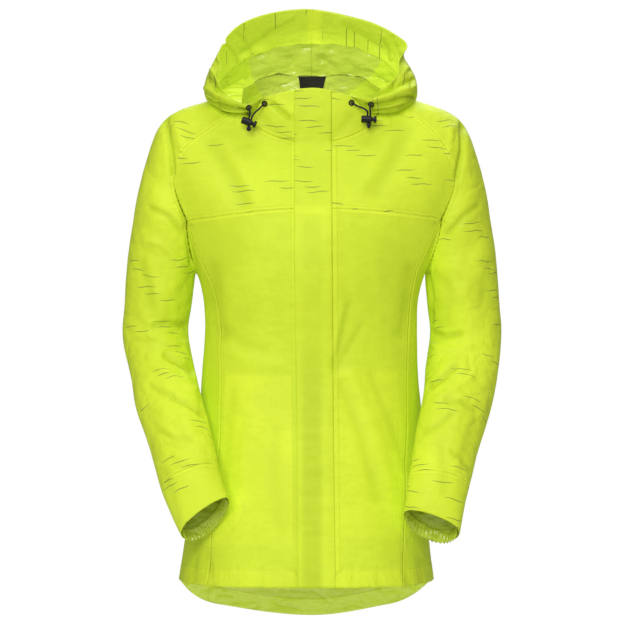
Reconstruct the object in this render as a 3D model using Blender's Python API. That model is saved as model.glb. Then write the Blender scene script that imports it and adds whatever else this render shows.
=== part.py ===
# Hooded rain jacket, worn by nobody, in the pose and fullness of a worn one.
# +Z is up and the front faces -Y. The wearer's right is at -X.
# The origin is the centre of the neck at the height of the shoulders' inner ends.
# Tables are in millimetres with x counted outwards from the middle, and meshes are in metres.

import math

import bmesh
import bpy
import numpy as np
from mathutils import Matrix, Vector

MM = 0.001
SIDES = {"right": -1, "left": 1}

# Cloth
CLOTH = 1.6  # wall of one layer with its coating
FACING = 1.2
POCKET_CLOTH = 1.0
NARROWEST = 0.05  # a sharper corner of a panel isn't drawn in further than this allows
RUNS_ON = 0.4  # a panel runs on across a seam if its normal's product with the middle one is over this
SEAM = 0.18  # a piece stops this far short of its seam line, so two are 0.36 apart
PLY_GAP = 0.45  # between two layers that lie on each other
FLAP_RISE = 2.0  # the storm flap's free edge stands off by this much more

# Rows and columns of each panel
YOKE_ROWS = 7
ARMHOLE_ROWS = 4
LOWER_ROWS = 16
ARM_ROWS = 12
CUFF_ROWS = 3
FRONT_COLUMNS = 9
SLEEVE_COLUMNS = 7
BACK_COLUMNS = 7
FACING_ROWS = 4
COLLAR_ROWS = 3
ARC_STEPS = 41

# Front opening
NECK_Z = -65
YOKE_Z = -155
HEM_Z = -680.5
COLLAR_TOP = (-79, 12)  # y, z at the middle
COLLAR_BULGE = 3
ZIP_HALF = 8
FLAP_EDGES = ((12, -24.5, 27.5), (-215, -24.8, 28.2), (-491, -20.7, 30.4), (-681, -19.3, 33))
ZIP_LINE = ((12, 2), (-681, 7))  # z, x

# Middle of the front and of the back: z, distance from the YZ plane's axis
FRONT_LINE = (
    (-65, 73), (-85, 84), (-105, 91), (-130, 101), (-155, 110), (-190, 119), (-215, 123), (-250, 124),
    (-283, 119), (-312, 114), (-340, 110), (-368, 108), (-397, 108), (-450, 112), (-540, 119),
    (-600, 123), (-681, 127),
)
BACK_LINE = (
    (43, 85), (0, 93), (-60, 104), (-120, 112), (-190, 113), (-240, 110), (-290, 101), (-340, 95),
    (-390, 97), (-430, 104), (-480, 112), (-540, 119), (-620, 126), (-744, 131),
)
BACK_TOP_Z = 43
BACK_MID_Z = -150
BACK_HEM_Z = -744

# Raglan seams from the neck to the yoke's corner: x, y, z
RAGLAN_FRONT = {
    "right": (
        (98, -50, -12), (121, -47, -25), (157, -55, -52), (180, -60, -70), (194, -58, -98),
        (196, -58, -112), (190, -57, -140), (176, -58, -173),
    ),
    "left": (
        (98, -50, -12), (131, -47, -19), (159, -52, -34), (179, -59, -57), (195, -60, -82),
        (203, -58, -108), (197, -57, -137), (182, -58, -170),
    ),
}
RAGLAN_BACK = (
    (80, 48, 32), (104, 58, 14), (132, 64, -10), (160, 69, -40), (180, 72, -75), (188, 73, -110),
    (184, 71, -145), (177, 69, -173),
)
UNDERARM = {"right": (165, 8, -243), "left": (160, 8, -243)}

# Seam over the shoulder, from the neck to the level of the armpit
OVER_ARM = (
    (97, 0, 14), (125, 3, 7), (153, 6, -2), (189, 8, -13), (211, 8, -27), (220.5, 8, -41), (231, 8, -70),
    (239.7, 8, -98), (247, 8, -127), (252.5, 8, -155), (256, 8, -184), (261, 8, -212), (264, 8, -240.5),
)

# Seams below the armhole: z, x, y
FRONT_SEAM = {
    "right": (
        (-173, 176, -58), (-206, 166, -57), (-240, 150, -61), (-262, 140, -66), (-300, 132, -68),
        (-340, 127.5, -70), (-400, 127, -74), (-465, 127, -80), (-540, 134, -84), (-620, 140, -89),
        (-681, 145, -92),
    ),
    "left": (
        (-170, 182, -58), (-203, 166, -56), (-235, 149, -58), (-262, 143, -59), (-300, 138, -57),
        (-340, 134, -57), (-400, 133, -62), (-465, 132, -71), (-540, 130, -81), (-620, 127, -92),
        (-681, 125.5, -98),
    ),
}
SIDE_LINE = {
    "right": (
        (-243, 165, 8), (-255, 160.5, 8), (-269, 156, 8), (-283, 153, 8), (-312, 150.5, 8),
        (-340, 152, 8), (-397, 158, 8), (-450, 160, 6), (-500, 165, 5), (-560, 172, 5),
        (-631, 182, 5), (-679, 190, 5),
    ),
    "left": (
        (-243, 160, 8), (-255, 156, 8), (-269, 152, 8), (-283, 150, 8), (-312, 146, 8),
        (-340, 145.5, 8), (-397, 150.5, 8), (-450, 156, 6), (-500, 158, 5), (-560, 162, 5),
        (-631, 167.5, 5), (-679, 173, 5),
    ),
}
BACK_SEAM = {
    "right": (
        (-173, 177, 69), (-206, 166, 66), (-238, 152, 63), (-270, 139, 64), (-300, 132, 63),
        (-340, 128, 61), (-400, 129, 67), (-465, 131, 77), (-540, 136, 87), (-620, 143, 94),
        (-722, 151, 99),
    ),
    "left": (
        (-173, 177, 69), (-206, 166, 66), (-238, 152, 63), (-270, 139, 64), (-300, 132, 63),
        (-340, 128, 61), (-400, 128, 67), (-465, 128, 77), (-540, 127, 87), (-620, 126, 94),
        (-722, 125, 99),
    ),
}

# Direction of a row where it meets a seam: row, x, y, z
YOKE_AT_RAGLAN = ((0, 0.35, 0.35, 0.87), (3.5, 0.8, 0.45, 0.4), (7, 0.72, 0.68, -0.12))
LOWER_AT_SEAM = ((0, 0.72, 0.68, -0.12), (2, 0.68, 0.73, 0), (8, 0.7, 0.71, 0), (16, 0.82, 0.57, 0))
SIDE_AT_FRONT = (
    (0, -0.08, 0.42, -0.9), (1, -0.05, 0.75, -0.65), (2, 0.2, 0.8, -0.5), (4, 0.5, 0.78, -0.35),
    (8, 0.62, 0.75, -0.2), (16, 0.8, 0.6, 0),
)
SIDE_AT_BACK = (
    (0, -0.05, -0.5, -0.86), (1, -0.05, -0.75, -0.65), (2, 0.2, -0.8, -0.5), (4, 0.5, -0.78, -0.3),
    (8, 0.68, -0.72, 0), (16, 0.78, -0.5, 0.3),
)
BACK_AT_RAGLAN = ((0, 0.55, -0.7, -0.45), (3.5, 0.85, -0.45, 0.1), (7, 0.72, -0.68, -0.1))
BACK_AT_SEAM = ((0, 0.72, -0.68, -0.1), (2, 0.68, -0.73, 0), (16, 0.8, -0.58, 0.2))
SLEEVE_AT_FRONT = (
    (0, 0, 0.8, 0.6), (3, 0.35, 0.45, 0.82), (5, 0.78, 0.1, 0.6), (7, 0.88, -0.4, 0.25),
    (9, 0.6, -0.8, 0), (11, 0, -1, 0),
)
SLEEVE_AT_BACK = (
    (0, -0.35, 0.75, 0.55), (3, -0.8, 0.5, -0.3), (5, -0.85, 0.2, -0.45), (7, -0.88, -0.35, -0.3),
    (9, -0.6, -0.8, 0), (11, 0, -1, 0),
)
SLEEVE_TOP = (0, 0.95, 0.3)
FULLNESS = ((0, 1), (6, 1), (9, 1.1), (11, 1.21))  # raglan row, how far the sleeve stands out

# Sleeve below the armpit: outer x and z, inner x and z, y, depth in front, depth behind, tilt in degrees
ARM = {
    "right": (
        (264, -240.5, 165, -243, 8, 60, 60, 0), (266, -269, 168, -268, 8, 57, 57, 0),
        (267.6, -297, 172, -296, 10, 54, 54, 0), (270.7, -326, 177, -328, 12, 52, 53, 4),
        (267, -354, 172, -352, 5, 50, 51, 12), (259, -382, 166, -376, -10, 49, 49, 20),
        (252.6, -410, 161.5, -394, -27, 48, 48, 25), (247.5, -438, 156, -414, -46, 47, 46, 28),
        (235.4, -465.6, 148.5, -438, -66, 46, 44, 28), (224.7, -493, 141, -464, -85, 44, 42, 28),
        (217, -520, 133.5, -490, -102, 41, 39, 28), (209, -545, 126.5, -519, -118, 38, 36, 29),
        (197, -573, 120, -539, -127, 32, 40, 30), (181, -604, 113, -558, -134, 24, 48, 32),
    ),
    "left": (
        (264, -240.5, 160, -243, 8, 60, 60, 0), (266, -269, 161, -268, 8, 57, 57, 0),
        (267.6, -297, 163.7, -297, 10, 54, 54, 0), (270.6, -322, 168, -324, 12, 52, 53, 4),
        (269.5, -347, 166, -346, 6, 50, 51, 12), (265.5, -376, 160.5, -370, -8, 49, 49, 20),
        (259.6, -410, 158, -396, -27, 48, 48, 25), (251.7, -438, 156, -420, -46, 47, 46, 28),
        (242.4, -465.6, 148, -450, -66, 46, 44, 28), (231.7, -493, 142, -477, -85, 44, 42, 28),
        (223.9, -520, 137, -505, -102, 41, 39, 28), (217, -543, 132.5, -530, -117, 38, 36, 29),
        (210, -571, 128.5, -554, -126, 32, 40, 30), (203, -603, 125, -577, -135, 24, 47, 32),
    ),
}
CUFF_SEAM = 11  # row of ARM where the cuff is sewn on
GATHERS = 20  # round the back of each cuff
GATHER_DEPTH = 1.1
ELASTIC_WIDTH = 15
ELASTIC_DROP = 3
ELASTIC_WALL = 1.2

# Hood. Each row is a line down the hood from near the rim to the neck, at a distance along the neck seam
# from the collar: the rim's facing edge, the far wall, the lowest fold and the tuck back to the seam.
HOOD_LINES = (
    # along, edge x y z, wall x y z, back x y z, fold x y z, tuck x y z, start x y z
    (0, 70, -76, -4, 73, -75, -8, 76, -73, -12, 79, -71, -15, 81, -69, -18, 83, -67.5, -20),
    (12, 86, -80, -13.5, 88.5, -79, -17, 91, -76, -20, 92, -72, -22, 92, -67, -22, 91.5, -62, -20),
    (23, 102, -80, -14, 107, -78, -18, 110, -73, -21, 109, -67, -22, 106, -61, -18, 102, -55, -15),
    (52, 138, -60, 6, 139, -56, -2, 137, -52, -10, 130, -48, -14, 118, -38, -4, 108, -30, 2),
    (79, 146, -28, 32, 151, -20, 20, 152.5, -18, 8, 148, -24, -3, 130, -6, 10, 112, 0, 14),
    (115, 140, 22, 54, 143, 42, 38, 142, 54, 22, 134, 58, 12, 116, 54, 18, 100, 46, 33),
    (166, 102, 92, 76, 102, 116, 38, 98, 128, -8, 90, 122, -40, 74, 106, -28, 62, 91, 18),
    (196, 54, 108, 88, 52, 132, 44, 50, 144, -16, 45, 136, -54, 37, 116, -40, 31, 98, 6),
    (224, 0, 116, 92, 0, 139, 46, 0, 149, -20, 0, 138, -60, 0, 119, -46, 0, 99, 4),
)
HOOD_SPREAD = {
    # along, factor on x
    "right": ((0, 1), (52, 1), (79, 1), (115, 1), (166, 1), (224, 1)),
    "left": ((0, 1), (52, 0.99), (79, 0.98), (115, 0.968), (166, 1), (224, 1)),
}
HOOD_RIM = {
    # along, x, y, z
    "right": (
        (0, 67, -76, -1), (12, 82, -80, -9), (23, 97, -81, -9.5), (52, 126, -61, 12), (79, 133, -43, 36),
        (115, 129.5, -18, 72), (166, 92, 5, 114), (196, 44, 16, 129), (224, 0, 20, 132),
    ),
    "left": (
        (0, 54, -76, 1), (12, 68, -79, -3), (23, 81, -79.5, -1), (52, 104, -67, 17), (79, 122, -47, 34),
        (115, 129, -24, 61), (166, 126, -2, 89), (196, 73, 10, 117), (224, 0, 20, 132),
    ),
}
HOOD_SHARES = (0.88, 0.76, 0.64, 0.53, 0.44, 0.35, 0.25, 0.15, 0.07, 0)  # rows below the facing, from the neck
FACING_WIDTH = ((0, 12), (23, 14), (52, 36), (79, 62), (115, 96), (166, 112), (196, 108), (224, 106))
FACING_START = 2  # column of the hood
COLLAR_JOIN = 7  # column of the front where the collar ends and the hood starts

# Large folds: a trough along a line from start to end, with its depth and half width
FOLDS = {
    "right": (
        ((186, -45, -352), (240, -40, -366), 5, 17), ((172, -35, -378), (215, -58, -392), 4, 16),
        ((186, -66, -205), (240, -45, -262), 4, 20),
    ),
    "left": (
        ((178, -42, -342), (236, -44, -352), 5, 17), ((170, -40, -388), (214, -66, -402), 4, 16),
        ((196, -64, -205), (236, -42, -270), 4, 20),
    ),
}

# Pocket bag inside the lower front: rows and columns of the front
POCKET_ROWS = (7, 15)
POCKET_COLUMNS = (1, 8)

# Neck label and hanger loop
LABEL_TOP = 21
LABEL_BOTTOM = 15
LABEL_WALL = 1.0
LABEL_ROWS = 3
LOOP_RADIUS = 1.1

# Cord hardware, per side: places as x, z and the lock's middle
EYELET_RING = 3.3
EYELET_TUBE = 1.1
CORD_RADIUS = 1.3
CORD_SPACING = 1.9  # of each leg from the middle of the lock
CHAMFER = 0.8
BARREL_RADIUS = 5.2
BARREL_LENGTH = 14.5
BORE_RADIUS = 3.1
BORE_DEPTH = 11
PLUNGER_CLEARANCE = 0.3
PLUNGER_TRAVEL = 2.4
PLUNGER_HEAD = 4.8
HEAD_THICKNESS = 3.8
KNOT_RADIUS = 3.4
EYELETS = {"right": ((89, -15), (66, -9)), "left": ((82, -11), (55, -9))}
LOCK = {"right": (88, -81, -36), "left": (79, -81, -32)}
LOCK_TILT = {"right": math.radians(20), "left": math.radians(2)}

COLOURS = {
    "shell": ((0.66, 0.87, 0.05), 0.55),
    "lining": ((0.62, 0.72, 0.30), 0.45),
    "trim": ((0.012, 0.012, 0.013), 0.5),
    "elastic": ((0.015, 0.015, 0.016), 0.8),
    "tape": ((0.55, 0.75, 0.08), 0.6),
}


def smooth(stations, values, at):
    """Points at the given stations of the smooth curve through the rows of a table."""
    stations = np.asarray(stations, float)
    values = np.asarray(values, float).reshape(len(stations), -1)
    at = np.atleast_1d(np.asarray(at, float))
    slopes = np.gradient(values, stations, axis=0)
    below = np.clip(np.searchsorted(stations, at) - 1, 0, len(stations) - 2)
    step = (stations[below + 1] - stations[below])[:, None]
    s = (at[:, None] - stations[below][:, None]) / step
    start, end = values[below], values[below + 1]
    out = slopes[below] * step
    into = slopes[below + 1] * step
    bend = (2 * s**3 - 3 * s**2) * (start - end)
    return start + bend + (s**3 - 2 * s**2 + s) * out + (s**3 - s**2) * into


def at_level(table, z):
    """The columns after the first of a table whose first column is z, falling, at the heights z."""
    table = np.asarray(table, float)
    return smooth(-table[:, 0], table[:, 1:], -np.atleast_1d(z))


def unit(vectors):
    return vectors / np.linalg.norm(vectors, axis=-1, keepdims=True)


def lengths(line):
    steps = np.linalg.norm(np.diff(line, axis=0), axis=1)
    return np.concatenate(([0], np.cumsum(steps)))


def at_lengths(line, places):
    reach = lengths(line)
    return np.stack([np.interp(places, reach, line[:, k]) for k in range(3)], axis=1)


def even(line, count, start=0):
    """Equal steps along a line, from a length after its beginning to its end."""
    return at_lengths(line, np.linspace(start, lengths(line)[-1], count + 1))


def through(points):
    """A finely stepped smooth line through a few points."""
    points = np.asarray(points, float)
    reach = lengths(points)
    return smooth(reach, points, np.linspace(0, reach[-1], ARC_STEPS * len(points)))


def arc(start, out, end, into, fullness=1.0):
    """A line that leaves one point along a direction and arrives at another along a second one."""
    start, end = np.asarray(start, float), np.asarray(end, float)
    out, into = unit(np.asarray(out, float)), unit(np.asarray(into, float))
    turn = math.acos(float(np.clip(out @ into, -1, 1)))
    handle = fullness * np.linalg.norm(end - start) / (3 * math.cos(turn / 4) ** 2)
    s = np.linspace(0, 1, ARC_STEPS)[:, None]
    near = 3 * (1 - s) ** 2 * s * (start + out * handle)
    far = 3 * (1 - s) * s**2 * (end - into * handle)
    return (1 - s) ** 3 * start + near + far + s**3 * end


def mirrored(points, side):
    """Tables count x outwards, and this turns them to world x."""
    return points * np.array([SIDES[side], 1, 1])


def seam_lines(side):
    """The seams of one side as points shared by the pieces that meet there, with x outwards."""
    under = UNDERARM[side]
    front = through(RAGLAN_FRONT[side])
    back = through(RAGLAN_BACK)
    front_scye = arc(front[-1], SIDE_AT_FRONT[0][1:], under, (0, 1, 0))
    back_scye = arc(back[-1], SIDE_AT_BACK[0][1:], under, (0, -1, 0))
    over = through(OVER_ARM)
    rows = np.linspace(0, 1, LOWER_ROWS + 1)

    def falling(table, top, bottom):
        z = top + (bottom - top) * rows
        x_y = at_level(table, z)
        return np.column_stack((x_y, z))

    return {
        "raglan_front": even(front, YOKE_ROWS),
        "raglan_back": even(back, YOKE_ROWS),
        "scye_front": even(front_scye, ARMHOLE_ROWS),
        "scye_back": even(back_scye, ARMHOLE_ROWS),
        "over": even(over, YOKE_ROWS + ARMHOLE_ROWS),
        "front": falling(FRONT_SEAM[side], FRONT_SEAM[side][0][0], FRONT_SEAM[side][-1][0]),
        "side": falling(SIDE_LINE[side], SIDE_LINE[side][0][0], SIDE_LINE[side][-1][0]),
        "back": falling(BACK_SEAM[side], BACK_SEAM[side][0][0], BACK_SEAM[side][-1][0]),
    }


def centre_front(side, z):
    """Points of the zip line at heights z, with x outwards on this side."""
    depth = at_level(FRONT_LINE, z)[:, 0]
    zip_z, zip_x = np.array(ZIP_LINE, float).T
    x = np.interp(-z, -zip_z, zip_x) * SIDES[side]
    return np.column_stack((x, -depth, z))


def front_rows(side, seams):
    """Fine rows of the front from the zip line to the raglan and then to the front seam."""
    upper = centre_front(side, np.linspace(NECK_Z, YOKE_Z, YOKE_ROWS + 1))
    lower = centre_front(side, np.linspace(YOKE_Z, HEM_Z, LOWER_ROWS + 1))
    at_raglan = smooth(*split(YOKE_AT_RAGLAN), np.arange(YOKE_ROWS + 1))
    at_seam = smooth(*split(LOWER_AT_SEAM), np.arange(LOWER_ROWS + 1))
    rows = [arc(c, (1, 0, 0), r, t) for c, r, t in zip(upper, seams["raglan_front"], at_raglan)]
    rows += [arc(c, (1, 0, 0), r, t) for c, r, t in list(zip(lower, seams["front"], at_seam))[1:]]
    return rows


def split(table):
    """A table as its first column and the rest."""
    table = np.asarray(table, float)
    return table[:, 0], table[:, 1:]


def side_grid(seams):
    """The side panel from the front seam under the arm to the back seam."""
    from_front = smooth(*split(SIDE_AT_FRONT), np.arange(LOWER_ROWS + 1))
    from_back = smooth(*split(SIDE_AT_BACK), np.arange(LOWER_ROWS + 1))
    rows = []
    for row in range(LOWER_ROWS + 1):
        middle = seams["side"][row]
        front = even(arc(seams["front"][row], from_front[row], middle, (0, 1, 0)), ARMHOLE_ROWS)
        back = even(arc(seams["back"][row], from_back[row], middle, (0, -1, 0)), ARMHOLE_ROWS)
        rows.append(np.concatenate((front, back[::-1][1:])))
    return np.array(rows)


def back_rows(seams):
    """Fine rows of half the back from its seams to the middle."""
    upper_z = np.linspace(BACK_TOP_Z, BACK_MID_Z, YOKE_ROWS + 1)
    lower_z = np.linspace(BACK_MID_Z, BACK_HEM_Z, LOWER_ROWS + 1)
    z = np.concatenate((upper_z, lower_z[1:]))
    middle = np.column_stack((np.zeros(len(z)), at_level(BACK_LINE, z)[:, 0], z))
    ends = np.concatenate((seams["raglan_back"], seams["back"][1:]))
    upper = smooth(*split(BACK_AT_RAGLAN), np.arange(YOKE_ROWS + 1))
    lower = smooth(*split(BACK_AT_SEAM), np.arange(1, LOWER_ROWS + 1))
    directions = np.concatenate((upper, lower))
    return [arc(m, (1, 0, 0), e, t)[::-1] for m, e, t in zip(middle, ends, directions)]


def arm_sections(side):
    """Inner point, outer point, direction towards the back and depths of each row below the armpit."""
    table = np.array(ARM[side], float)
    places = np.concatenate(
        (np.linspace(0, CUFF_SEAM, ARM_ROWS + 1), np.linspace(CUFF_SEAM, len(table) - 1, CUFF_ROWS + 1)[1:])
    )
    rows = smooth(np.arange(len(table)), table, places)
    outer = np.column_stack((rows[:, 0], rows[:, 4], rows[:, 1]))
    inner = np.column_stack((rows[:, 2], rows[:, 4], rows[:, 3]))
    tilt = np.radians(rows[:, 7])
    back = np.column_stack((np.zeros(len(rows)), np.cos(tilt), -np.sin(tilt)))
    return inner, outer, back, rows[:, 5], rows[:, 6]


def sleeve_grids(side, seams):
    """Front and back half of the sleeve, and the cuff below them, with x outwards."""
    raglan_rows = np.arange(YOKE_ROWS + ARMHOLE_ROWS + 1)
    front_edge = np.concatenate((seams["raglan_front"], seams["scye_front"][1:]))
    back_edge = np.concatenate((seams["raglan_back"], seams["scye_back"][1:]))
    leave = smooth(*split(SLEEVE_AT_FRONT), raglan_rows)
    arrive = smooth(*split(SLEEVE_AT_BACK), raglan_rows)
    full = smooth(*split(FULLNESS), raglan_rows)[:, 0]
    front, back = [], []
    for row in raglan_rows:
        top = SLEEVE_TOP if row == 0 else (0, 1, 0)
        over = seams["over"][row]
        front.append(even(arc(front_edge[row], leave[row], over, top, full[row]), SLEEVE_COLUMNS))
        back.append(even(arc(over, top, back_edge[row], arrive[row], full[row]), SLEEVE_COLUMNS))
    for inner, outer, behind, front_depth, back_depth in list(zip(*arm_sections(side)))[1:]:
        # Half an oval from one curve: its handles are two thirds of its width when it is round.
        half_width = np.linalg.norm(outer - inner) / 2
        front.append(even(arc(inner, -behind, outer, behind, front_depth / half_width), SLEEVE_COLUMNS))
        back.append(even(arc(outer, behind, inner, -behind, back_depth / half_width), SLEEVE_COLUMNS))
    front, back = np.array(front), np.array(back)
    cuff = YOKE_ROWS + ARMHOLE_ROWS + ARM_ROWS
    ring = np.concatenate((front[cuff:], back[cuff:, 1:]), axis=1)
    return front[: cuff + 1], back[: cuff + 1], ring


def surface_normals(grid, closed=False):
    """Unit normals of a grid whose columns run from the front round to the back and whose rows fall."""
    if closed:
        wrapped = np.concatenate((grid[:, -2:-1], grid, grid[:, 1:2]), axis=1)
        across = np.gradient(wrapped, axis=1)[:, 1:-1]
    else:
        across = np.gradient(grid, axis=1, edge_order=min(2, grid.shape[1] - 1))
    down = np.gradient(grid, axis=0, edge_order=min(2, len(grid) - 1))
    return unit(np.cross(across, down))


def outward(grid, side, closed=False):
    return surface_normals(grid, closed) * -SIDES[side]


def folded(grid, normals, side):
    """The large folds pressed into a sleeve in world coordinates, leaving its seams in place."""
    depth = np.zeros(grid.shape[:2])
    for start, end, deep, half_width in FOLDS[side]:
        start = mirrored(np.array(start, float), side)
        line = mirrored(np.array(end, float), side) - start
        share = np.clip((grid - start) @ line / (line @ line), 0, 1)
        distance = np.linalg.norm(grid - start - share[..., None] * line, axis=-1)
        depth += deep * np.exp(-((distance / half_width) ** 2))
    depth[:, (0, -1)] = 0
    return grid - normals * depth[..., None]


def agree_at_seams(panels):
    """Where panels run on across a seam, gives them one normal there, so that their walls don't cross."""
    meeting = {}
    for grid, normals, _ in panels.values():
        for point, normal in zip(grid.reshape(-1, 3), normals.reshape(-1, 3)):
            meeting.setdefault(tuple(np.round(point, 3) + 0.0), []).append(normal.copy())
    for grid, normals, _ in panels.values():
        for spot in np.ndindex(grid.shape[:2]):
            here = np.array(meeting[tuple(np.round(grid[spot], 3) + 0.0)])
            middle = unit(here.sum(axis=0))
            if normals[spot] @ middle > RUNS_ON:
                normals[spot] = unit(here[here @ middle > RUNS_ON].sum(axis=0))


def follow_collar(hood, collar):
    """Gives the hood the collar's normals on the straight seam where it starts beside the collar."""
    (hood_points, hood_normals, _), (collar_points, collar_normals, _) = hood, collar
    down_hood = lengths(hood_points[:, 0])
    down_collar = lengths(collar_points[:, -1])
    for k in range(3):
        hood_normals[:, 0, k] = np.interp(down_hood, down_collar, collar_normals[:, -1, k])
    hood_normals[:, 0] = unit(hood_normals[:, 0])


def material(kind):
    found = bpy.data.materials.get(kind)
    if found:
        return found
    colour, roughness = COLOURS[kind]
    made = bpy.data.materials.new(kind)
    made.use_nodes = True
    shader = made.node_tree.nodes["Principled BSDF"]
    shader.inputs["Base Color"].default_value = (*colour, 1)
    shader.inputs["Roughness"].default_value = roughness
    shader.inputs["Metallic"].default_value = 0
    made.diffuse_color = (*colour, 1)
    return made


def add_part(name, data, kind):
    """Puts a mesh or curve into the jacket's collection with a material of its own."""
    part = bpy.data.objects.new(name, data)
    part.data.materials.append(material(kind).copy())
    part.data.materials[0].name = name + "_" + kind
    jacket.objects.link(part)
    return part


def finished(bm, name, sharp):
    """A smooth-shaded mesh with its faces outwards, sharp where it bends by more than an angle."""
    bmesh.ops.recalc_face_normals(bm, faces=bm.faces)
    if bm.calc_volume(signed=True) < 0:
        bmesh.ops.reverse_faces(bm, faces=bm.faces)
    mesh = bpy.data.meshes.new(name)
    bm.to_mesh(mesh)
    bm.free()
    mesh.shade_smooth()
    mesh.set_sharp_from_angle(angle=math.radians(sharp))
    return mesh


def inset(grid, closed):
    """The same grid, stopping short of its seams."""
    down = unit(np.gradient(grid, axis=0))
    across = unit(np.gradient(grid, axis=1))
    lean = np.sum(down * across, axis=-1, keepdims=True)
    from_rows = np.zeros_like(grid)
    from_columns = np.zeros_like(grid)
    from_rows[0] = unit(down - lean * across)[0]
    from_rows[-1] = -unit(down - lean * across)[-1]
    if not closed:
        from_columns[:, 0] = unit(across - lean * down)[:, 0]
        from_columns[:, -1] = -unit(across - lean * down)[:, -1]
    # In a corner this is the point that lies as far from both seams.
    corner = 1 + np.sum(from_rows * from_columns, axis=-1, keepdims=True)
    return grid + SEAM * (from_rows + from_columns) / np.maximum(corner, NARROWEST)


def cloth(name, grid, normals, kind="shell", wall=CLOTH, lift=0.0, closed=False):
    """A layer of cloth on a grid of its outer points: one closed wall, thickened inwards."""
    outer = (inset(grid, closed) + normals * lift).reshape(-1, 3) * MM
    inner = outer - normals.reshape(-1, 3) * wall * MM
    bm = bmesh.new()
    bmesh.ops.create_grid(bm, x_segments=grid.shape[1] - 1, y_segments=grid.shape[0] - 1, size=1)
    place = bm.verts.layers.int.new("place")
    for index, (vert, point) in enumerate(zip(bm.verts, outer)):
        vert.co = point
        vert[place] = index
    if closed:
        bmesh.ops.remove_doubles(bm, verts=bm.verts, dist=SEAM * MM / 100)
    thick = bmesh.ops.extrude_face_region(bm, geom=bm.faces[:])
    for vert in [item for item in thick["geom"] if isinstance(item, bmesh.types.BMVert)]:
        vert.co = inner[vert[place]]
    return add_part(name, finished(bm, name, 50), kind)


def across_front(row, side, flap_x, count):
    """Points along a row of the front: beside the zip, under the flap's edge, then evenly to its end."""
    under_flap = np.interp(flap_x * SIDES[side], row[:, 0] * SIDES[side], lengths(row))
    places = np.linspace(under_flap, lengths(row)[-1], count)
    return at_lengths(row, np.concatenate(([ZIP_HALF], places)))


def flap_edge(side, z):
    edges = np.array(FLAP_EDGES, float)
    column = {"right": 1, "left": 2}[side]
    return np.interp(-z, -edges[:, 0], edges[:, column])


def side_panels(side):
    """Every panel of one side in world coordinates, each as its grid of points, normals and sort."""
    seams = seam_lines(side)
    fine = [mirrored(row, side) for row in front_rows(side, seams)]
    front = np.array([across_front(r, side, flap_edge(side, r[0, 2]), FRONT_COLUMNS) for r in fine])
    front_normals = outward(front, side)
    yoke = slice(0, YOKE_ROWS + 1)
    lower = slice(YOKE_ROWS, None)
    panels = {
        "front_yoke_" + side: (front[yoke], front_normals[yoke].copy(), "open"),
        "front_lower_" + side: (front[lower], front_normals[lower].copy(), "open"),
    }
    below_arm = mirrored(side_grid(seams), side)
    below_arm_normals = outward(below_arm, side)
    # Its top row runs almost along its side seams at both ends, so the row below shows better which way it faces.
    below_arm_normals[0] = below_arm_normals[1]
    panels["side_panel_" + side] = (below_arm, below_arm_normals, "open")
    sleeve_front, sleeve_back, cuff = [mirrored(grid, side) for grid in sleeve_grids(side, seams)]
    for name, grid in (("sleeve_front_", sleeve_front), ("sleeve_back_", sleeve_back)):
        pressed = folded(grid, outward(grid, side), side)
        panels[name + side] = (pressed, outward(pressed, side), "open")
    panels["cuff_" + side] = (cuff, outward(cuff, side, True), "closed")
    half_back = np.array([even(mirrored(row, side), BACK_COLUMNS) for row in back_rows(seams)])
    collar = collar_grid(side, fine[0], front[0])
    panels["collar_" + side] = (collar, outward(collar, side), "open")
    return panels, half_back


def collar_grid(side, neckline, neck_points):
    """The collar front, from its top edge down to the neck seam."""
    foot = mirrored(np.array(HOOD_RIM[side][0][1:], float), side)
    middle = (neckline[0, 0], *COLLAR_TOP)
    top = arc(middle, (SIDES[side], 0, 0), foot, (SIDES[side] * 0.95, 0.12, -0.3))
    join = neck_points[COLLAR_JOIN]
    join_at = lengths(neckline)[np.argmin(np.linalg.norm(neckline - join, axis=1))]
    bottom = at_lengths(neckline, np.linspace(0, join_at, len(top)))
    rows = []
    for share in np.linspace(0, 1, COLLAR_ROWS + 1)[:-1]:
        row = top + (bottom - top) * share
        row[:, 1] -= COLLAR_BULGE * math.sin(math.pi * share) * np.linspace(1, 0, len(row)) ** 0.5
        edge = top[-1] + (join - top[-1]) * share
        points = across_front(row, side, flap_edge(side, row[0, 2]), COLLAR_JOIN)
        points[-1] = edge
        rows.append(points)
    rows.append(neck_points[: COLLAR_JOIN + 1])
    return np.array(rows)


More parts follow.
